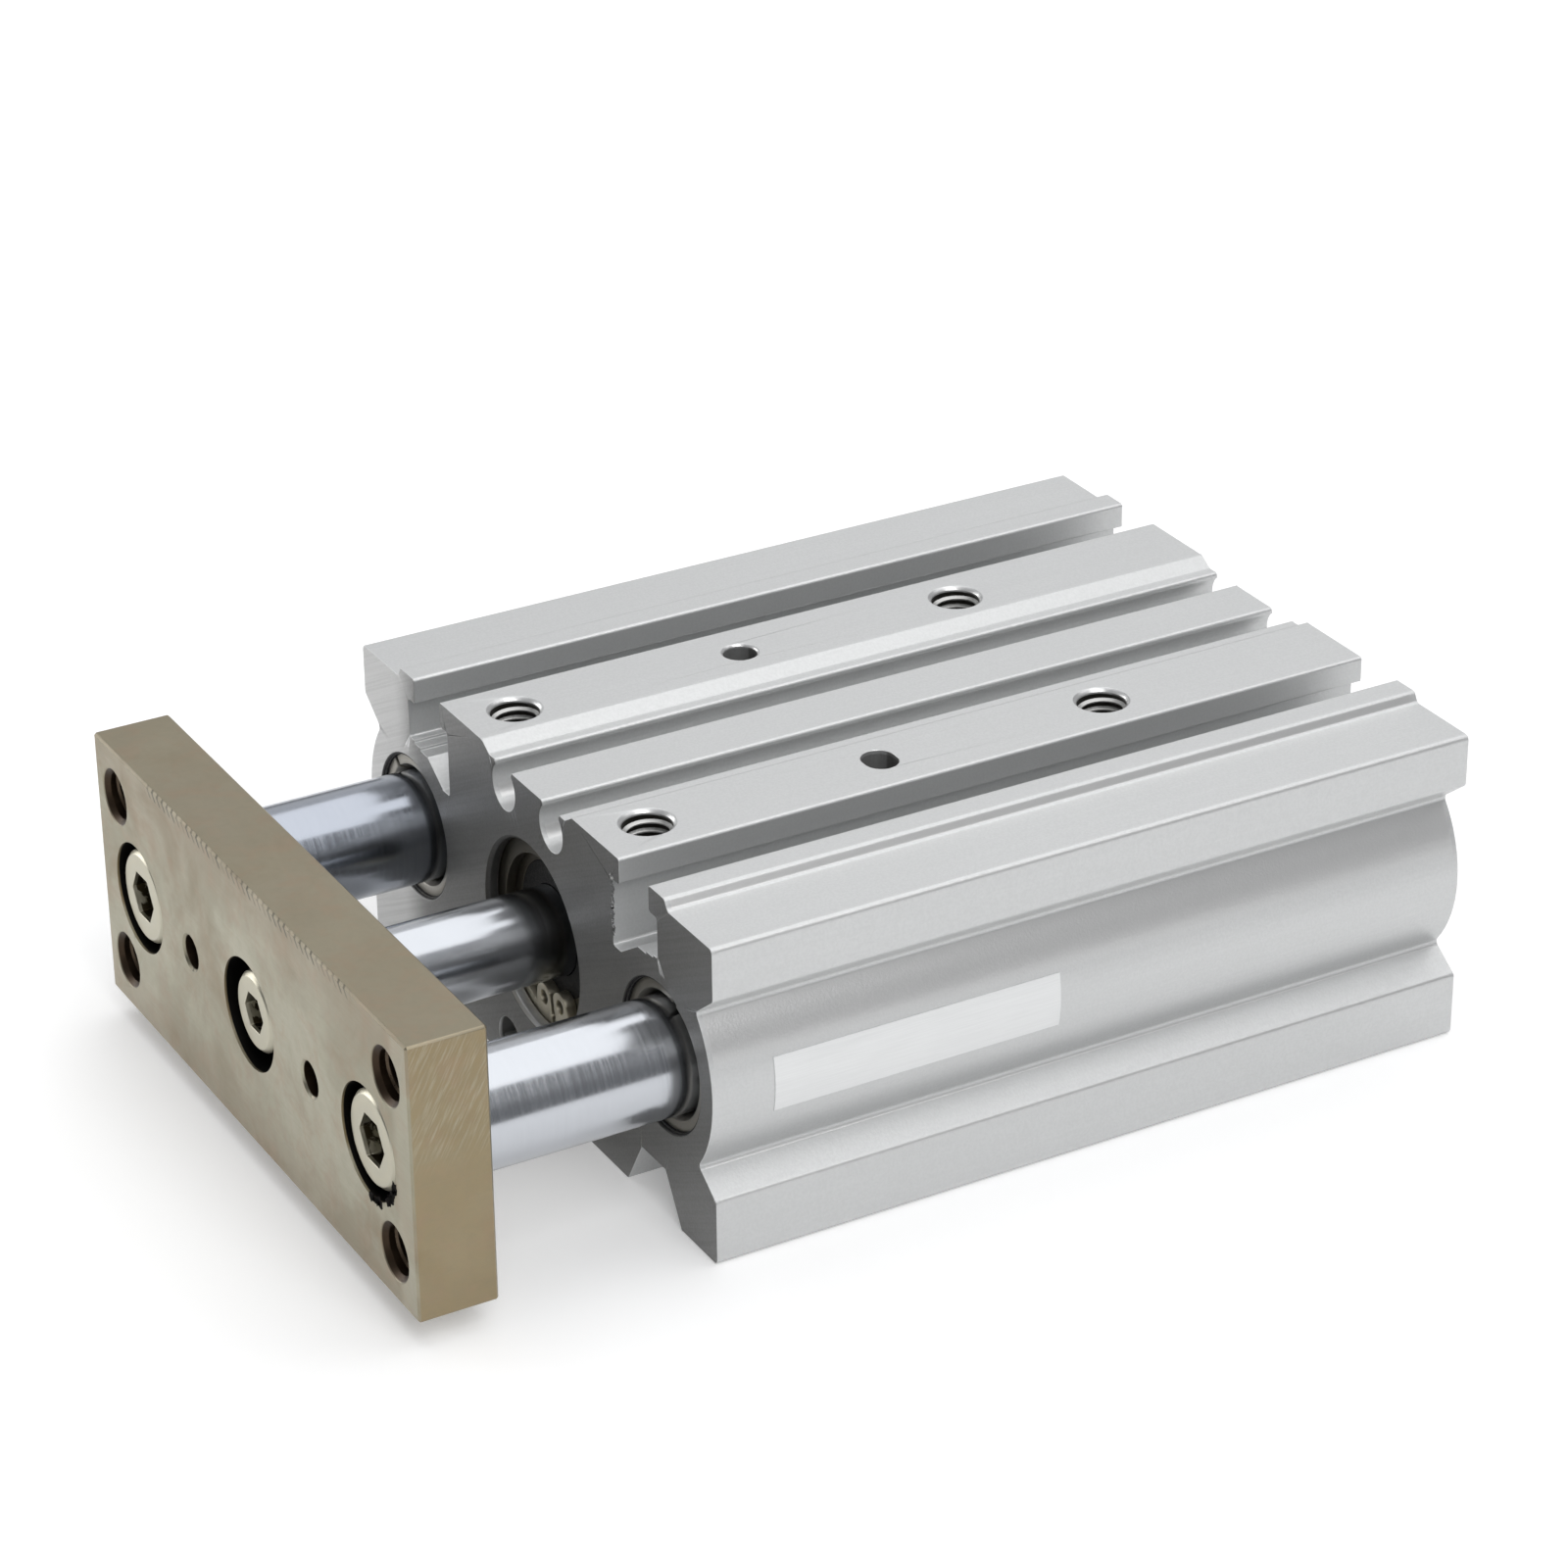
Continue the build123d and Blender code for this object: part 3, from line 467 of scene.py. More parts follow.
@dataclass(frozen=True)
class BlastedAnodised(Finish):
    """Blasted and clear anodised extrusion, with milled ends."""

    # The milled ends' own colour, set darker as painted shade.
    cut_colour: Colour = srgb(128, 128, 127)
    # Painted light on the left end of the front face.
    cut_painted_light: Colour = srgb(206, 206, 205)
    # Painted highlight on the long edges and slopes.
    painted_glint_colour: Colour = srgb(232, 232, 231)
    # Painted shade in the holes, and the colour of the saw marks on the ends.
    hole_shade_and_saw_colour: Colour = srgb(40, 38, 34)
    grain: float = 0.22 * MM

    def pattern(self, graph: Graph, shader: Node) -> None:
        """Grain, faint die lines, cut ends with painted shade and painted light, a painted highlight on
        the long edges and painted shade in the holes.
        """
        grain = Grain.use(graph, Size=self.grain)
        lines = Streaks.use(graph, Lengths=mm(0.35, 60, 0.35))
        cloud = Blotches.use(graph, Size=22 * MM, Low=0.35, High=0.7)
        ahead = Facing.use(graph, Way=Axis.FRONT.value)
        ends = graph.calc("ADD", ahead, Facing.use(graph, Way=Axis.REAR.value), clamp=True)
        length = Between.lay(graph, Axis.REAR, -26.5, 45.5)
        # Painted highlight: the edges and the upward slopes made lighter, between the ends.
        edge = graph.times(EdgeGlint.use(graph, Radius=0.25 * MM), 0.4)
        edge = graph.calc("MAXIMUM", edge, graph.times(Slopes.use(graph), 0.7))
        edge = graph.times(edge, length)
        skin = graph.blend(graph.spread(lines), self.shade(0.985), self.shade(1.015))
        sawn = Streaks.use(graph, Lengths=mm(16, 60, 0.22), Turn=(0.0, 0.5, 0.0))
        # Painted light: the left end of the front face made lighter.
        painted_left_light = Between.lay(graph, Axis.RIGHT, -60, -26, 5.5)
        cut = graph.paint(
            self.cut_colour,
            (painted_left_light, ahead, self.cut_painted_light),
            (graph.span(sawn, 0.35, 0.7, 0, 0.12), self.hole_shade_and_saw_colour),
        )
        skin = graph.paint(
            skin,
            (graph.span(grain, 0.35, 0.65, 0, 0.5), self.shade(0.955)),
            (cloud, 0.35, self.shade(0.96)),
            # The ends, with their painted shade and painted light.
            (ends, cut),
            # Painted shade in the holes.
            (self.holes(graph), self.hole_shade_and_saw_colour),
            (edge, self.painted_glint_colour),
        )
        graph.feed(shader.inputs["Metallic"], graph.level(ends, self.metallic, 0.4))
        rough = graph.spread(grain, self.roughness - 0.05, self.roughness + 0.07)
        self.cover(graph, shader, skin, graph.level(edge, rough, 0.28), grain, 0.012 * MM)

    @staticmethod
    def holes(graph: Graph) -> Socket:
        """Painted shade in the top holes and in the bore's ends, where little light gets in."""
        up = {"Middle": (0, 0, 0), "Flat": (1, 1, 0), "Way": Axis.UP.value}
        threads = RoundHole.use(graph, Centre=mm(12, 22, 0), Radius=2.25 * MM, Level=29.6 * MM, **up)
        dowels = RoundHole.use(graph, Centre=mm(12, 0, 0), Radius=1.82 * MM, Level=29.7 * MM, **up)
        end = {"Level": 26.99 * MM, "Softness": 0.02 * MM}
        upper = Between.lay(graph, Axis.UP, 11, 40, 3)
        bore = graph.times(RoundHole.use(graph, Radius=9.3 * MM, **end), upper)
        guides = RoundHole.use(graph, Centre=mm(GUIDE_X, 0, 0), Radius=6.95 * MM, **end)
        grooves = RoundHole.use(
            graph, Middle=mm(0, 0, 2.2), Centre=mm(5.1, 0, 0), Radius=2.3 * MM, Level=26.9 * MM,
            Softness=0.3 * MM,
        )
        near = Between.lay(graph, Axis.REAR, -30, -22, 4)
        deep = graph.calc("MAXIMUM", guides, graph.times(grooves, near))
        deep = graph.times(graph.calc("MAXIMUM", bore, deep), 0.85)
        return graph.calc("MAXIMUM", graph.calc("MAXIMUM", threads, graph.times(dowels, 0.4)), deep)


@dataclass(frozen=True)
class StainedNickel(Finish):
    """Milled steel under nickel that has stained: patches of pale, grey and yellow."""

    pale: Colour = srgb(180, 177, 160)
    grey: Colour = srgb(138, 120, 98)
    yellow: Colour = srgb(148, 132, 101)
    pink: Colour = srgb(158, 134, 112)
    # Painted shade: the top face's darker colour.
    top: Colour = srgb(148, 140, 120)
    # Painted shade in the thread mouths and on the counterbore walls.
    brown: Colour = srgb(58, 46, 34)
    black: Colour = srgb(16, 15, 14)

    def pattern(self, graph: Graph, shader: Node) -> None:
        """Stains, mill marks, the yellower side, a painted highlight on the edges, painted shade on the
        top and the front chamfer, a row of small cuts and painted shade in the holes.
        """
        pale = Blotches.use(graph, Size=19 * MM, Low=0.38, High=0.62)
        grey = Blotches.use(graph, Size=10 * MM, Low=0.45, High=0.75, Offset=(0.03, 0.01, 0.02))
        fine = Blotches.use(graph, Size=1.1 * MM, Low=0.35, High=0.7, Offset=(0.01, 0.05, 0.0))
        marks = Streaks.use(graph, Lengths=mm(9, 9, 0.16))
        brushed = Streaks.use(graph, Lengths=mm(0.18, 0.18, 2.5), Turn=(0.5, 0.0, 0.0))
        right = Facing.use(graph, Way=Axis.RIGHT.value)
        above = Facing.use(graph, Way=Axis.UP.value)
        ahead = Facing.use(graph, Way=Axis.FRONT.value)
        edge = EdgeGlint.use(graph, Radius=0.3 * MM)
        rosy = Blotches.use(graph, Size=2.6 * MM, Low=0.45, High=0.7, Offset=(0.02, 0.07, 0.01))
        inner = Between.lay(graph, Axis.UP, 9, 21, 6)
        band = Between.lay(graph, Axis.RIGHT, 28.8, 31.2, 1.2)
        high = Between.lay(graph, Axis.UP, 19, 28, 4)
        strip = Between.lay(graph, Axis.UP, 26.75, 27.5, 0.2)
        # Painted shade on the chamfer along the top front edge.
        corner = Facing.use(graph, Way=(0, -0.7071, 0.7071), Limit=0.75)
        row = Ticks.use(graph, Pitch=1.03 * MM, Slant=0.9)
        row = graph.times(row, Between.lay(graph, Axis.RIGHT, -18, 19, 3))
        tone = graph.paint(
            self.colour,
            (pale, 0.7, self.pale),
            (grey, 0.45, self.grey),
            (graph.calc("SUBTRACT", 1.0, inner), 0.4, self.grey),
            # Painted shade: the top face darker.
            (above, 0.75, self.top),
            (right, 0.8, self.yellow),
            (rosy, 0.34, self.pink),
            (fine, 0.16, self.shade(0.72)),
            (graph.span(marks, 0.45, 0.75, 0, 0.1), self.shade(1.2)),
            (band, ahead, 0.35, self.pale),
            (right, high, graph.span(brushed, 0.45, 0.75, 0, 0.5), self.pale),
            # Painted highlight along the edges.
            (edge, 0.12, self.pale),
            # Painted shade on the top front chamfer, deeper at the cuts.
            (corner, graph.level(row, 0.45, 0.95), self.shade(0.2)),
            (row, strip, ahead, 0.85, self.shade(0.25)),
        )
        rough = graph.level(grey, self.roughness - 0.03, self.roughness + 0.08)
        rough = graph.calc("ADD", rough, graph.spread(marks, -0.03, 0.03))
        height = graph.calc("ADD", marks, graph.times(fine, 0.4))
        self.cover(graph, shader, self.holes(graph, tone), rough, height, 0.006 * MM)

    def holes(self, graph: Graph, tone: Socket) -> Socket:
        """The tone with painted shade: black counterbore walls and brown thread mouths."""
        for x, z, radius, level, colour in (
            (27.0, 8.0, 2.68, 52.97, self.brown),
            (0.0, 0.0, 5.0, 52.85, self.black),
            (GUIDE_X, 0.0, 5.0, 52.85, self.black),
            (12.0, 0.0, 1.75, 52.85, self.brown),
        ):
            hole = RoundHole.use(graph, Centre=mm(x, 0, z), Radius=radius * MM, Level=level * MM)
            tone = graph.blend(hole, tone, colour)
        return tone


@dataclass(frozen=True)
class TurnedMetal(Finish):
    """Metal with the rings of the lathe or the grinding wheel round its own axis."""

    centre: Point = (0.0, 0.0, MIDDLE_Z * MM)
    pitch: float = 0.2 * MM
    depth: float = 0.003 * MM
    contrast: float = 0.08
    # How much the painted highlight lightens the edges.
    glint: float = 1.15

    def pattern(self, graph: Graph, shader: Node) -> None:
        """Rings in colour, roughness and relief, and a painted highlight on the edges."""
        ring = TurnedRings.use(graph, Centre=self.centre, Pitch=self.pitch)
        haze = Blotches.use(graph, Size=6 * MM, Low=0.35, High=0.7)
        edge = EdgeGlint.use(graph, Radius=0.15 * MM)
        dark, light = self.shade(1 - self.contrast), self.shade(1 + self.contrast / 2)
        tone = graph.blend(graph.spread(ring), dark, light)
        # Painted highlight on the edges.
        tone = graph.paint(tone, (haze, 0.3, self.shade(0.93)), (edge, self.shade(self.glint)))
        rough = graph.spread(ring, self.roughness * 0.85, self.roughness * 1.2)
        self.cover(graph, shader, self.darken(graph, tone), rough, ring, self.depth)

    def darken(self, graph: Graph, tone: Socket) -> Socket:
        """The tone as it is; a finish with painted shade on it lays it here."""
        return tone


@dataclass(frozen=True)
class SocketHead(TurnedMetal):
    """A bolt's head with painted shade in its socket."""

    socket: float = 2.4 * MM
    face: float = -52.7 * MM
    # Painted shade in the socket.
    socket_shade: Colour = srgb(66, 58, 42)

    def darken(self, graph: Graph, tone: Socket) -> Socket:
        """The tone with painted shade in the socket, and a few patches left out of it."""
        level = -self.face - 0.3 * MM
        inside = RoundHole.use(graph, Middle=self.centre, Radius=self.socket, Level=level)
        shade_patches = graph.span(Blotches.use(graph, Size=2.4 * MM, Low=0.56, High=0.48), 0, 1, 0.05, 1.0)
        return graph.blend(graph.times(inside, shade_patches), tone, self.socket_shade)


@dataclass(frozen=True)
class SnapRing(TurnedMetal):
    """A retaining ring with painted shade on its upper part, at the front, inside the bore."""

    # Painted shade on the ring's upper part.
    ring_shade: Colour = srgb(46, 42, 36)

    def darken(self, graph: Graph, tone: Socket) -> Socket:
        """The tone with the painted shade on it."""
        upper = Between.lay(graph, Axis.UP, 13, 40, 4)
        front = Between.lay(graph, Axis.REAR, -60, 0)
        return graph.blend(graph.times(upper, front, 0.85), tone, self.ring_shade)


@dataclass(frozen=True)
class Moulded(Finish):
    """Rubber, urethane or bonded magnet: fine matte grain with a little dust."""

    metallic: float = 0.0
    roughness: float = 0.7
    dust: Colour = srgb(84, 80, 74)

    def pattern(self, graph: Graph, shader: Node) -> None:
        """Grain in relief and roughness, with patches of dust."""
        grain = Grain.use(graph, Size=0.12 * MM)
        dusty = Blotches.use(graph, Size=2 * MM, Low=0.5, High=0.8)
        tone = graph.blend(graph.times(dusty, 0.35), self.colour, self.dust)
        rough = graph.spread(grain, self.roughness - 0.1, self.roughness + 0.1)
        self.cover(graph, shader, tone, rough, grain, 0.01 * MM)


@dataclass(frozen=True)
class DarkMark(Finish):
    """The dark torn metal of a burr, and the painted shade of the threads in the plate's holes."""

    metallic: float = 0.3
    roughness: float = 0.6
    gloss: float = 0.5

    def pattern(self, graph: Graph, shader: Node) -> None:
        """Uneven dark tone with a coarse relief."""
        shader.inputs["Specular IOR Level"].default_value = self.gloss
        grain = Grain.use(graph, Size=0.2 * MM, Softness=0.7)
        tone = graph.blend(grain, self.shade(0.6), self.shade(1.6))
        rough = graph.spread(grain, self.roughness - 0.15, self.roughness + 0.15)
        self.cover(graph, shader, tone, rough, grain, 0.02 * MM)


@dataclass(frozen=True)
class TornMetal(Finish):
    """Ragged bits of a saw cut, some bright and some black."""

    bright: Colour = srgb(236, 236, 234)
    roughness: float = 0.4

    def pattern(self, graph: Graph, shader: Node) -> None:
        """Hard patches of bright and dark metal."""
        patch = Blotches.use(graph, Size=0.5 * MM, Low=0.52, High=0.58)
        grain = Grain.use(graph, Size=0.15 * MM)
        rough = graph.spread(grain, self.roughness - 0.1, self.roughness + 0.1)
        tone = graph.blend(patch, self.colour, self.bright)
        self.cover(graph, shader, tone, rough, grain, 0.02 * MM)


@dataclass(frozen=True)
class LabelFoil(Finish):
    """Blank pale foil of a label, a little uneven from its glue."""

    metallic: float = 0.35
    roughness: float = 0.38
    rim: Colour = srgb(188, 189, 190)

    def pattern(self, graph: Graph, shader: Node) -> None:
        """Faint brushing along the label and soft waves of the glue below."""
        lines = Streaks.use(graph, Lengths=mm(0.1, 6, 0.1))
        waves = Blotches.use(graph, Size=3.5 * MM, Low=0.3, High=0.75)
        edge = EdgeGlint.use(graph, Radius=0.12 * MM)
        tone = graph.blend(graph.spread(lines), self.shade(0.97), self.shade(1.02))
        rough = graph.span(waves, 0, 1, self.roughness, self.roughness + 0.1)
        self.cover(graph, shader, graph.blend(edge, tone, self.rim), rough, waves, 0.01 * MM)


class Shape:
    """A bmesh that grows into one finished piece."""

    # How far a torn outline strays, as shares of its reach.
    torn = (0.55, 1.15)
    # Vertices closer than this are one, and edges sharper than this many degrees stay sharp.
    merged, sharp = 0.0005 * MM, 35.0

    def __init__(self) -> None:
        """Starts empty."""
        self.mesh = bmesh.new()

    def wind(self, points: tuple, steps: int, turns: float = 1.0, drop: float = 0.0) -> list:
        """Winds a closed profile round Z, into a ring or into a helix with closed ends.

        Args:
            points: Radius and height of each corner of the profile, in millimetres.
            steps: Steps of one turn.
            turns: Number of turns.
            drop: How far a turn goes down, in millimetres, or 0 for a ring.

        Returns:
            The vertices that were made.
        """
        before = set(self.mesh.verts)
        verts = [self.mesh.verts.new(mm(radius, 0, height)) for radius, height in points]
        edges = [self.mesh.edges.new(pair) for pair in zip(verts, verts[1:] + verts[:1])]
        bmesh.ops.spin(
            self.mesh, geom=verts + edges, cent=(0, 0, 0), axis=Axis.UP.value,
            dvec=mm(0, 0, -drop / steps), angle=math.tau * turns, steps=round(steps * turns),
            use_merge=not drop, use_duplicate=False,
        )
        made = [v for v in self.mesh.verts if v not in before]
        rims = {e for v in made for e in v.link_edges if e.is_boundary}
        bmesh.ops.holes_fill(self.mesh, edges=list(rims), sides=0)
        return made

    def flake(self, reach: float, dice: random.Random, corners: int) -> list:
        """A small flat chip with a torn outline, lying in the XY plane.

        Args:
            reach: Half its width, in millimetres.
            dice: Where the torn outline comes from.
            corners: Corners of the outline.

        Returns:
            The vertices that were made.
        """
        before = set(self.mesh.verts)
        disc = bmesh.ops.create_circle(self.mesh, cap_ends=True, segments=corners, radius=reach * MM)
        for vert in disc["verts"]:
            vert.co *= dice.uniform(*self.torn)
        faces = [f for f in self.mesh.faces if set(f.verts) <= set(disc["verts"])]
        self.thicken(faces, mm(0, 0, MARK_THICKNESS))
        return [v for v in self.mesh.verts if v not in before]

    def thicken(self, faces: list, by: Vector) -> None:
        """Grows faces into a closed sheet."""
        grown = bmesh.ops.extrude_face_region(self.mesh, geom=faces)
        raised = [g for g in grown["geom"] if isinstance(g, bmesh.types.BMVert)]
        bmesh.ops.translate(self.mesh, vec=by, verts=raised)

    def place(self, verts: list, turn: Matrix, at: Vector) -> None:
        """Turns vertices about the origin and moves them to their place."""
        bmesh.ops.transform(self.mesh, matrix=Matrix.Translation(at) @ turn, verts=verts)

    def piece(self, name: str, body: Body, dressing: "Dressing", finish: str) -> None:
        """Turns the bmesh into an object that rides on a body.

        Args:
            name: The piece's name.
            body: What it rides on.
            dressing: The palette.
            finish: The finish's name in the palette.
        """
        bmesh.ops.remove_doubles(self.mesh, verts=self.mesh.verts, dist=self.merged)
        bmesh.ops.recalc_face_normals(self.mesh, faces=self.mesh.faces)
        sharp = math.radians(self.sharp)
        for edge in self.mesh.edges:
            edge.smooth = len(edge.link_faces) == 2 and edge.calc_face_angle(0) < sharp
        for face in self.mesh.faces:
            face.smooth = True
        data = bpy.data.meshes.new(name)
        self.mesh.to_mesh(data)
        self.mesh.free()
        made = add_object(name, data)
        data.materials.append(dressing.material(finish))
        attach(made, body.value)
        LOG.info("%s: %d faces on %s", name, len(data.polygons), body.value)


@dataclass(frozen=True)
class Thread:
    """An inside thread: a ridge wound down from the mouth of a plain hole, in millimetres.

    The flank and the flat of the ridge are shares of its pitch.
    """

    hole: float
    crest: float
    turns: float
    start: float
    pitch: float = 0.8
    sunk: float = 0.06
    flank: float = 0.34
    flat: float = 0.06

    def wind(self, shape: Shape, mouth: Point, way: Axis) -> None:
        """Winds one thread into a shape.

        Args:
            shape: The shape that takes it.
            mouth: The middle of the hole's mouth, in millimetres.
            way: The direction in which the hole opens.
        """
        root, top = self.hole / 2 + self.sunk, self.crest / 2
        flank, flat = self.pitch * self.flank, self.pitch * self.flat
        corners = ((root, -flank), (top, -flat), (top, flat), (root, flank))
        points = [(radius, -self.start + height) for radius, height in corners]
        made = shape.wind(points, THREAD_STEPS, self.turns, self.pitch)
        shape.place(made, way.turn(), mm(*mouth))


@dataclass
class Dressing:
    """Gives CAD nodes their material and their softened edges."""

    finishes: dict[str, Finish]
    # In millimetres, how wide softened edges are and how near the vertices that become one.
    edge: float = 0.06
    joined: float = 0.002
    # Edges that turn less than this, in degrees, are not softened.
    fold: float = 32.0
    made: dict[str, bpy.types.Material] = field(default_factory=dict)

    def material(self, name: str) -> bpy.types.Material:
        """The material of a finish, made once.

        Args:
            name: The finish's name in the palette.

        Returns:
            The material.
        """
        if name not in self.made:
            self.made[name] = self.finishes[name].material(name)
        return self.made[name]

    def dress(self, node: str, name: str, edge: float | None = None) -> None:
        """Dresses one CAD node.

        Args:
            node: The node's name.
            name: The finish's name in the palette.
            edge: The width of its softened edges, in millimetres, or None for the usual.
        """
        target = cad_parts[node]
        target.data.materials.clear()
        target.data.materials.append(self.material(name))
        self.soften(target, self.edge if edge is None else edge)
        LOG.info("%s: %s", node, name)

    def soften(self, target: bpy.types.Object, width: float) -> None:
        """Adds the modifiers that join the node's faces and take off its sharp edges."""
        weld = target.modifiers.new("join", "WELD")
        weld.merge_threshold = self.joined * MM
        bevel = target.modifiers.new("edge", "BEVEL")
        bevel.width = width * MM
        bevel.segments = 2
        bevel.limit_method = "ANGLE"
        bevel.angle_limit = math.radians(self.fold)
        bevel.use_clamp_overlap = False
        shade = target.modifiers.new("shade", "WEIGHTED_NORMAL")
        shade.keep_sharp = False
        shade.weight = 100


@dataclass
class ExtrudedBlock:
    """The block: its skin, the threads in its holes, its blank label and its burrs."""

    mount_x: float = 12.0
    mount_y: float = 22.0
    rear_x: float = 28.0
    rear_z: float = 11.0
    port_ys: tuple = (-16.0, 38.0)
    mount_thread: Thread = Thread(hole=4.3, crest=3.75, turns=9, start=0.75)
    rear_thread: Thread = Thread(hole=4.2, crest=3.7, turns=4, start=0.85)
    port_thread: Thread = Thread(hole=4.2, crest=3.7, turns=3, start=0.85)
    label_y: tuple = (-21.3, 5.7)
    label_z: tuple = (12.5, 17.5)
    label_from_x: float = 30.5
    label_facing: float = 0.8
    label_thickness: float = 0.05
    burr_x: float = 15.24
    burr_z: float = 22.7
    burr_step: float = 0.47
    burr_count: int = 12
    burr_corners: int = 7
    burr_reach: tuple = (0.24, 0.42)
    burr_stray: tuple = (-0.08, 0.1)

    def build(self, dressing: Dressing) -> None:
        """Dresses the block and adds its small pieces.

        Args:
            dressing: The palette.
        """
        dressing.dress("body_block", "block")
        self.threads(dressing)
        self.label(dressing)
        self.burrs(dressing)

    def threads(self, dressing: Dressing) -> None:
        """Winds the threads of the mounting holes, the rear holes and the ports."""
        shape = Shape()
        for x in (-self.mount_x, self.mount_x):
            for y in (-self.mount_y, self.mount_y):
                self.mount_thread.wind(shape, (x, y, BLOCK_TOP), Axis.UP)
        shape.piece("mount_threads", Body.BLOCK, dressing, "block_thread")
        shape = Shape()
        for x in (-self.rear_x, self.rear_x):
            for z in (-self.rear_z, self.rear_z):
                self.rear_thread.wind(shape, (x, BLOCK_REAR, MIDDLE_Z + z), Axis.REAR)
        for y in self.port_ys:
            self.port_thread.wind(shape, (0, y, 0), Axis.DOWN)
        shape.piece("rear_and_port_threads", Body.BLOCK, dressing, "block_thread")

    def label(self, dressing: Dressing) -> None:
        """Lays the blank label on the swollen right side, cut from a copy of the block's own skin."""
        shape = Shape()
        mesh = shape.mesh
        mesh.from_mesh(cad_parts["body_block"].data)
        bmesh.ops.remove_doubles(mesh, verts=mesh.verts, dist=dressing.joined * MM)
        near, lean = self.label_from_x * MM, self.label_facing
        rest = [f for f in mesh.faces if f.normal.x < lean or f.calc_center_median().x < near]
        bmesh.ops.delete(mesh, geom=rest, context="FACES")
        for point, normal in (
            ((0, self.label_y[0], 0), Axis.FRONT), ((0, self.label_y[1], 0), Axis.REAR),
            ((0, 0, self.label_z[0]), Axis.DOWN), ((0, 0, self.label_z[1]), Axis.UP),
        ):
            geometry = [*mesh.verts, *mesh.edges, *mesh.faces]
            bmesh.ops.bisect_plane(
                mesh, geom=geometry, plane_co=mm(*point), plane_no=normal.value, clear_outer=True,
                clear_inner=False,
            )
        shape.thicken(list(mesh.faces), mm(self.label_thickness, 0, 0))
        shape.piece("blank_label", Body.BLOCK, dressing, "label")

    def burrs(self, dressing: Dressing) -> None:
        """Leaves the torn teeth of the saw cut down the inner edge of the right nut slot."""
        dice = random.Random(11)
        shape = Shape()
        for step in range(self.burr_count):
            made = shape.flake(dice.uniform(*self.burr_reach), dice, self.burr_corners)
            x, z = self.burr_x + dice.uniform(*self.burr_stray), self.burr_z + self.burr_step * step
            shape.place(made, Axis.FRONT.turn(), mm(x, BLOCK_FRONT + MARK_OFFSET, z))
        shape.piece("slot_burrs", Body.BLOCK, dressing, "torn")


@dataclass
class FrontPlate:
    """The front plate: its stained skin, corner threads and the marks of its milling."""

    corner_x: float = 27.0
    corner_z: float = 8.0
    edge: float = 0.03
    chip_degrees: tuple = (2, 8, 14, 20, 40, 46, 52, 58, 64, 70)
    chip_radius: float = 5.0
    chip_reach: float = 0.52
    chip_corners: int = 11
    thread: Thread = Thread(hole=4.2, crest=3.75, turns=7, start=0.85)

    def build(self, dressing: Dressing) -> None:
        """Dresses the plate and adds its small pieces.

        Args:
            dressing: The palette.
        """
        dressing.dress("front_plate", "plate", self.edge)
        shape = Shape()
        for x in (-self.corner_x, self.corner_x):
            for z in (-self.corner_z, self.corner_z):
                self.thread.wind(shape, (x, PLATE_FRONT, MIDDLE_Z + z), Axis.FRONT)
        shape.piece("plate_threads", Body.CARRIAGE, dressing, "plate_thread")
        self.chip(dressing)

    def chip(self, dressing: Dressing) -> None:
        """Leaves the torn chips along the lower rim of the right counterbore."""
        dice = random.Random(5)
        shape = Shape()
        for degrees in self.chip_degrees:
            x = GUIDE_X + self.chip_radius * math.sin(math.radians(degrees))
            z = MIDDLE_Z - self.chip_radius * math.cos(math.radians(degrees))
            made = shape.flake(self.chip_reach, dice, self.chip_corners)
            shape.place(made, Axis.FRONT.turn(), mm(x, PLATE_FRONT + MARK_OFFSET, z))
        shape.piece("counterbore_chip", Body.CARRIAGE, dressing, "burr")


@dataclass
class Carriage:
    """What moves with the plate: rods, bolts and piston."""

    def build(self, dressing: Dressing) -> None:
        """Dresses the rods, bolts and piston.

        Args:
            dressing: The palette.
        """
        for side in ("left", "right"):
            dressing.dress(f"guide_rod_{side}", f"guide_rod_{side}")
            dressing.dress(f"guide_rod_bolt_{side}", f"guide_bolt_{side}")
        dressing.dress("piston_rod", "piston_rod")
        dressing.dress("piston_rod_bolt", "rod_bolt")
        dressing.dress("piston", "cover")
        dressing.dress("piston_seal", "rubber")
        dressing.dress("magnet_ring", "magnet")


@dataclass
class Bearings:
    """The guide bushings and a dark ring in the mouth round the front pair."""

    # Radius and height of the corners of the dark line's section.
    line: tuple = (
        (6.38, -0.75), (6.54, -0.75), (6.71, -0.22), (6.74, -0.06), (6.58, -0.12), (6.47, -0.5)
    )

    def build(self, dressing: Dressing) -> None:
        """Dresses the bushings and lays the dark line.

        Args:
            dressing: The palette.
        """
        for side in ("left", "right"):
            dressing.dress(f"guide_bushing_front_{side}", f"bushing_{side}")
            dressing.dress(f"guide_bushing_inner_{side}", "bronze")
        shape = Shape()
        for x in (-GUIDE_X, GUIDE_X):
            made = shape.wind(self.line, RING_STEPS)
            shape.place(made, Axis.FRONT.turn(), mm(x, BLOCK_FRONT, MIDDLE_Z))
        shape.piece("bushing_dark_ring", Body.BLOCK, dressing, "rubber")


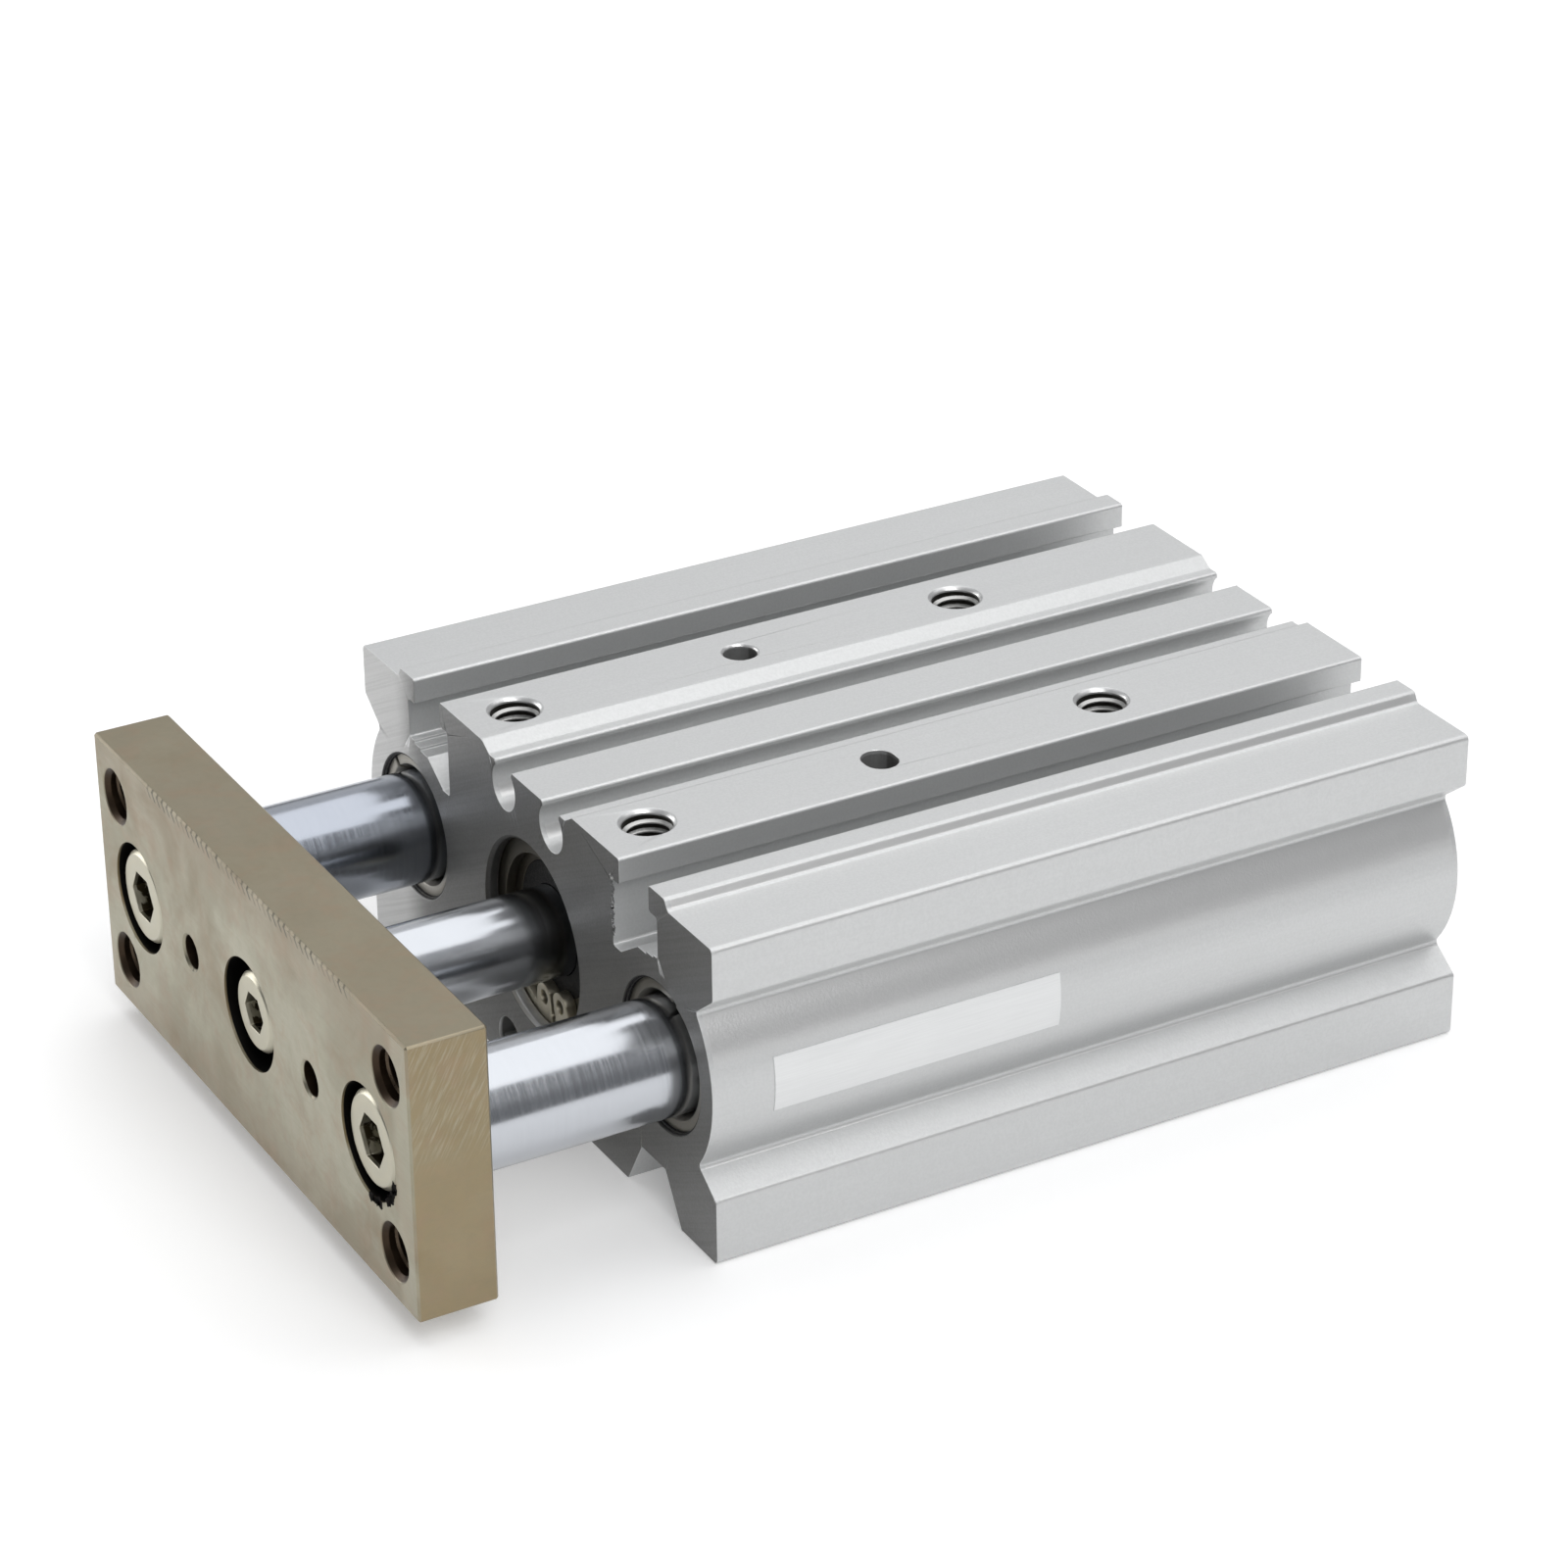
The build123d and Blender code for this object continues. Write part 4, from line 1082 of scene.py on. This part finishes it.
@dataclass
class Ends:
    """What closes the bore at both ends, and the plugs of the side ports."""

    def build(self, dressing: Dressing) -> None:
        """Dresses covers, rings, seals, bumpers and plugs.

        Args:
            dressing: The palette.
        """
        for node, name in (
            ("rod_cover", "cover"), ("rod_bushing", "bronze"), ("rod_seal", "rubber"),
            ("rod_cover_oring", "rubber"), ("rod_cover_retaining_ring", "ring"),
            ("front_bumper", "bumper"), ("head_cover", "cover"), ("head_cover_oring", "rubber"),
            ("head_cover_retaining_ring", "ring"), ("rear_bumper", "bumper"),
            ("side_port_plug_front", "plug"), ("side_port_plug_rear", "plug"),
        ):
            dressing.dress(node, name)


@dataclass(frozen=True)
class Lamp:
    """One soft lamp."""

    name: str
    at: Point
    size: tuple[float, float]
    radiance: float
    aim: Point = (0.0, -0.005, 0.015)

    def build(self) -> None:
        """Hangs the lamp and turns it to what it lights."""
        data = bpy.data.lights.new(self.name, "AREA")
        data.shape = "RECTANGLE"
        data.size, data.size_y = self.size
        data.energy = self.radiance * self.size[0] * self.size[1] * math.pi
        lamp = add_object(self.name, data)
        lamp.location = self.at
        lamp.rotation_euler = (Vector(self.aim) - Vector(self.at)).to_track_quat("-Z", "Y").to_euler()
        lamp.visible_camera = False


@dataclass(frozen=True)
class Viewpoint:
    """The photograph's point of view, as fitted to the object's corners."""

    azimuth: float = 60.738
    elevation: float = 27.355
    roll: float = -0.589
    aside: float = -10.039
    raised: float = 4.421
    distance: float = 419.045
    target: Point = (0.0, 9.0, 15.0)
    focal: float = 4879.245
    picture: float = 1600.0
    sensor: float = 36.0

    def build(self) -> None:
        """Makes the camera and takes it into use."""
        azimuth, elevation, roll = (math.radians(v) for v in (self.azimuth, self.elevation, self.roll))
        level = math.cos(elevation)
        back = Vector((math.sin(azimuth) * level, -math.cos(azimuth) * level, math.sin(elevation)))
        right = (-back).cross(Vector((0, 0, 1))).normalized()
        up = right.cross(-back)
        across = right * math.cos(roll) + up * math.sin(roll)
        above = up * math.cos(roll) - right * math.sin(roll)
        eye = Vector(self.target) + back * self.distance + across * self.aside + above * self.raised
        turn = Matrix((across, above, back)).transposed().to_4x4()
        data = bpy.data.cameras.new("camera")
        data.sensor_width = self.sensor
        data.lens = self.focal / self.picture * self.sensor
        data.clip_start, data.clip_end = 0.01, 30
        camera = add_object("camera", data)
        camera.matrix_world = Matrix.Translation(eye * MM) @ turn
        bpy.context.scene.camera = camera


@dataclass
class Studio:
    """Floor, lamps, surroundings and the way colours are shown."""

    floor_size: float = 4.0
    floor_drop: float = 0.05
    floor_colour: Colour = (0.85, 0.85, 0.85)
    floor_lift: float = 0.22
    # From, to and softness of the dimmed field, in millimetres, where the floor's glow is left out of
    # glossy rays as painted shade in the reflections under the rods.
    dim_x: tuple = (-36.0, 16.0, 6.0)
    dim_y: tuple = (-46.0, -29.5, 2.0)
    surroundings: Colour = (0.2, 0.203, 0.21)
    lamps: tuple = (
        Lamp("lamp_above", (-0.1, 0.3, 1.2), (1.7, 1.6), 1.42),
        Lamp("lamp_back", (-1.3, 0.75, 0.75), (1.3, 1.0), 0.55),
        Lamp("lamp_right", (0.9, -0.12, 0.9), (0.8, 0.75), 4.0),
        Lamp("lamp_left", (-0.62, -0.46, 0.16), (0.5, 0.45), 3.4),
    )

    def build(self) -> None:
        """Builds the studio round the object."""
        scene = bpy.context.scene
        scene.view_settings.view_transform = "Standard"
        world = bpy.data.worlds.new("surroundings")
        world.use_nodes = True
        world.node_tree.nodes["Background"].inputs["Color"].default_value = (*self.surroundings, 1)
        scene.world = world
        for lamp in self.lamps:
            lamp.build()
        self.floor()

    def floor(self) -> None:
        """Lays the pale floor, clear from below and dimmer in reflections under the rods."""
        mesh = bmesh.new()
        bmesh.ops.create_grid(mesh, x_segments=1, y_segments=1, size=self.floor_size)
        bmesh.ops.translate(mesh, vec=(0, 0, -self.floor_drop * MM), verts=mesh.verts)
        data = bpy.data.meshes.new("floor")
        mesh.to_mesh(data)
        mesh.free()
        floor = add_object("floor", data)
        made = bpy.data.materials.new("pale_floor")
        made.use_nodes = True
        graph = Graph(made.node_tree)
        made.node_tree.nodes.clear()
        paint = graph.add("BsdfDiffuse", {"Color": self.floor_colour}).outputs[0]
        path = graph.add("LightPath")
        # Painted shade in reflections: the floor's glow left out of glossy rays under the rods.
        across = Between.lay(graph, Axis.RIGHT, *self.dim_x)
        dim = graph.times(across, Between.lay(graph, Axis.REAR, *self.dim_y))
        mirrored = graph.times(path.outputs["Is Glossy Ray"], graph.calc("SUBTRACT", 1.0, dim))
        seen = graph.calc("MAXIMUM", path.outputs["Is Camera Ray"], mirrored)
        seen = graph.calc("MAXIMUM", seen, path.outputs["Is Transmission Ray"])
        glow = {"Color": (1, 1, 1), "Strength": graph.times(seen, self.floor_lift)}
        lift = graph.add("Emission", glow).outputs[0]
        upper = graph.add("AddShader", {0: paint, 1: lift}).outputs[0]
        clear = graph.add("BsdfTransparent").outputs[0]
        below = graph.add("NewGeometry").outputs["Backfacing"]
        both = graph.add("MixShader", {0: below, 1: upper, 2: clear}).outputs[0]
        graph.add("OutputMaterial", {"Surface": both})
        data.materials.append(made)


def palette() -> dict[str, Finish]:
    """The finishes of the whole object.

    Returns:
        A finish for each name.
    """
    left, right = tuple(mm(-GUIDE_X, 0, MIDDLE_Z)), tuple(mm(GUIDE_X, 0, MIDDLE_Z))
    own = (0.0, 0.0, 0.0)
    ground = {"pitch": 0.08 * MM, "depth": 0.0004 * MM, "contrast": 0.03}
    chrome = {"slot": "rod_chrome", "colour": srgb(192, 195, 200), "roughness": 0.2, **ground}
    # Painted shade: a darker copy of the chrome, for the left guide rod.
    shaded_chrome = {**chrome, "colour": srgb(166, 171, 180)}
    bolt = {"slot": "bolt_nickel", "colour": srgb(188, 184, 167), "roughness": 0.42, "glint": 1.0}
    bolt["pitch"] = 0.3 * MM
    bushing = {"slot": "bushing_steel", "colour": srgb(150, 147, 140), "roughness": 0.45}
    return {
        "block": BlastedAnodised("block_anodised", srgb(206, 207, 207), 0.75, 0.45),
        "block_thread": TurnedMetal("block_anodised", srgb(196, 196, 194), 0.8, 0.35, centre=own),
        "plate": StainedNickel("plate_nickel", srgb(151, 146, 126), 0.85, 0.46),
        # Painted shade on the threads in the plate's holes.
        "plate_thread": DarkMark("plate_nickel", srgb(84, 72, 58), 0.8, 0.4),
        "burr": DarkMark("plate_nickel", srgb(14, 11, 8), 0.0, 0.8, gloss=0.06),
        "torn": TornMetal("block_anodised", srgb(112, 112, 111), 0.7),
        "guide_rod_left": TurnedMetal(**shaded_chrome, centre=left),
        "guide_rod_right": TurnedMetal(**chrome, centre=right),
        "piston_rod": TurnedMetal(**chrome),
        "guide_bolt_left": SocketHead(**bolt, centre=left),
        "guide_bolt_right": SocketHead(**bolt, centre=right),
        "rod_bolt": SocketHead(**bolt, socket=1.95 * MM, face=-52.55 * MM),
        "bushing_left": TurnedMetal(**bushing, centre=left),
        "bushing_right": TurnedMetal(**bushing, centre=right),
        "bronze": TurnedMetal("bushing_bronze", srgb(186, 150, 104), 1.0, 0.45),
        "ring": SnapRing("ring_steel", srgb(204, 198, 180), 0.9, 0.36, pitch=0.4 * MM),
        "cover": TurnedMetal("cover_aluminium", srgb(92, 88, 80), 1.0, 0.45),
        "plug": TurnedMetal("plug_steel", srgb(176, 173, 166), 1.0, 0.32, centre=own),
        "rubber": Moulded("seal_rubber", srgb(16, 16, 17), dust=srgb(40, 39, 37)),
        "bumper": Moulded("bumper_urethane", srgb(70, 66, 58)),
        "magnet": Moulded("magnet_bonded", srgb(72, 70, 70)),
        "label": LabelFoil("block_anodised", srgb(230, 231, 231)),
    }


def main() -> None:
    """Builds the studio and dresses the object, one sub-assembly after another."""
    logging.basicConfig(level=logging.INFO, format="%(message)s")
    Viewpoint().build()
    Studio().build()
    dressing = Dressing(palette())
    for assembly in (ExtrudedBlock(), FrontPlate(), Carriage(), Bearings(), Ends()):
        assembly.build(dressing)


if __name__ == "__main__":
    main()
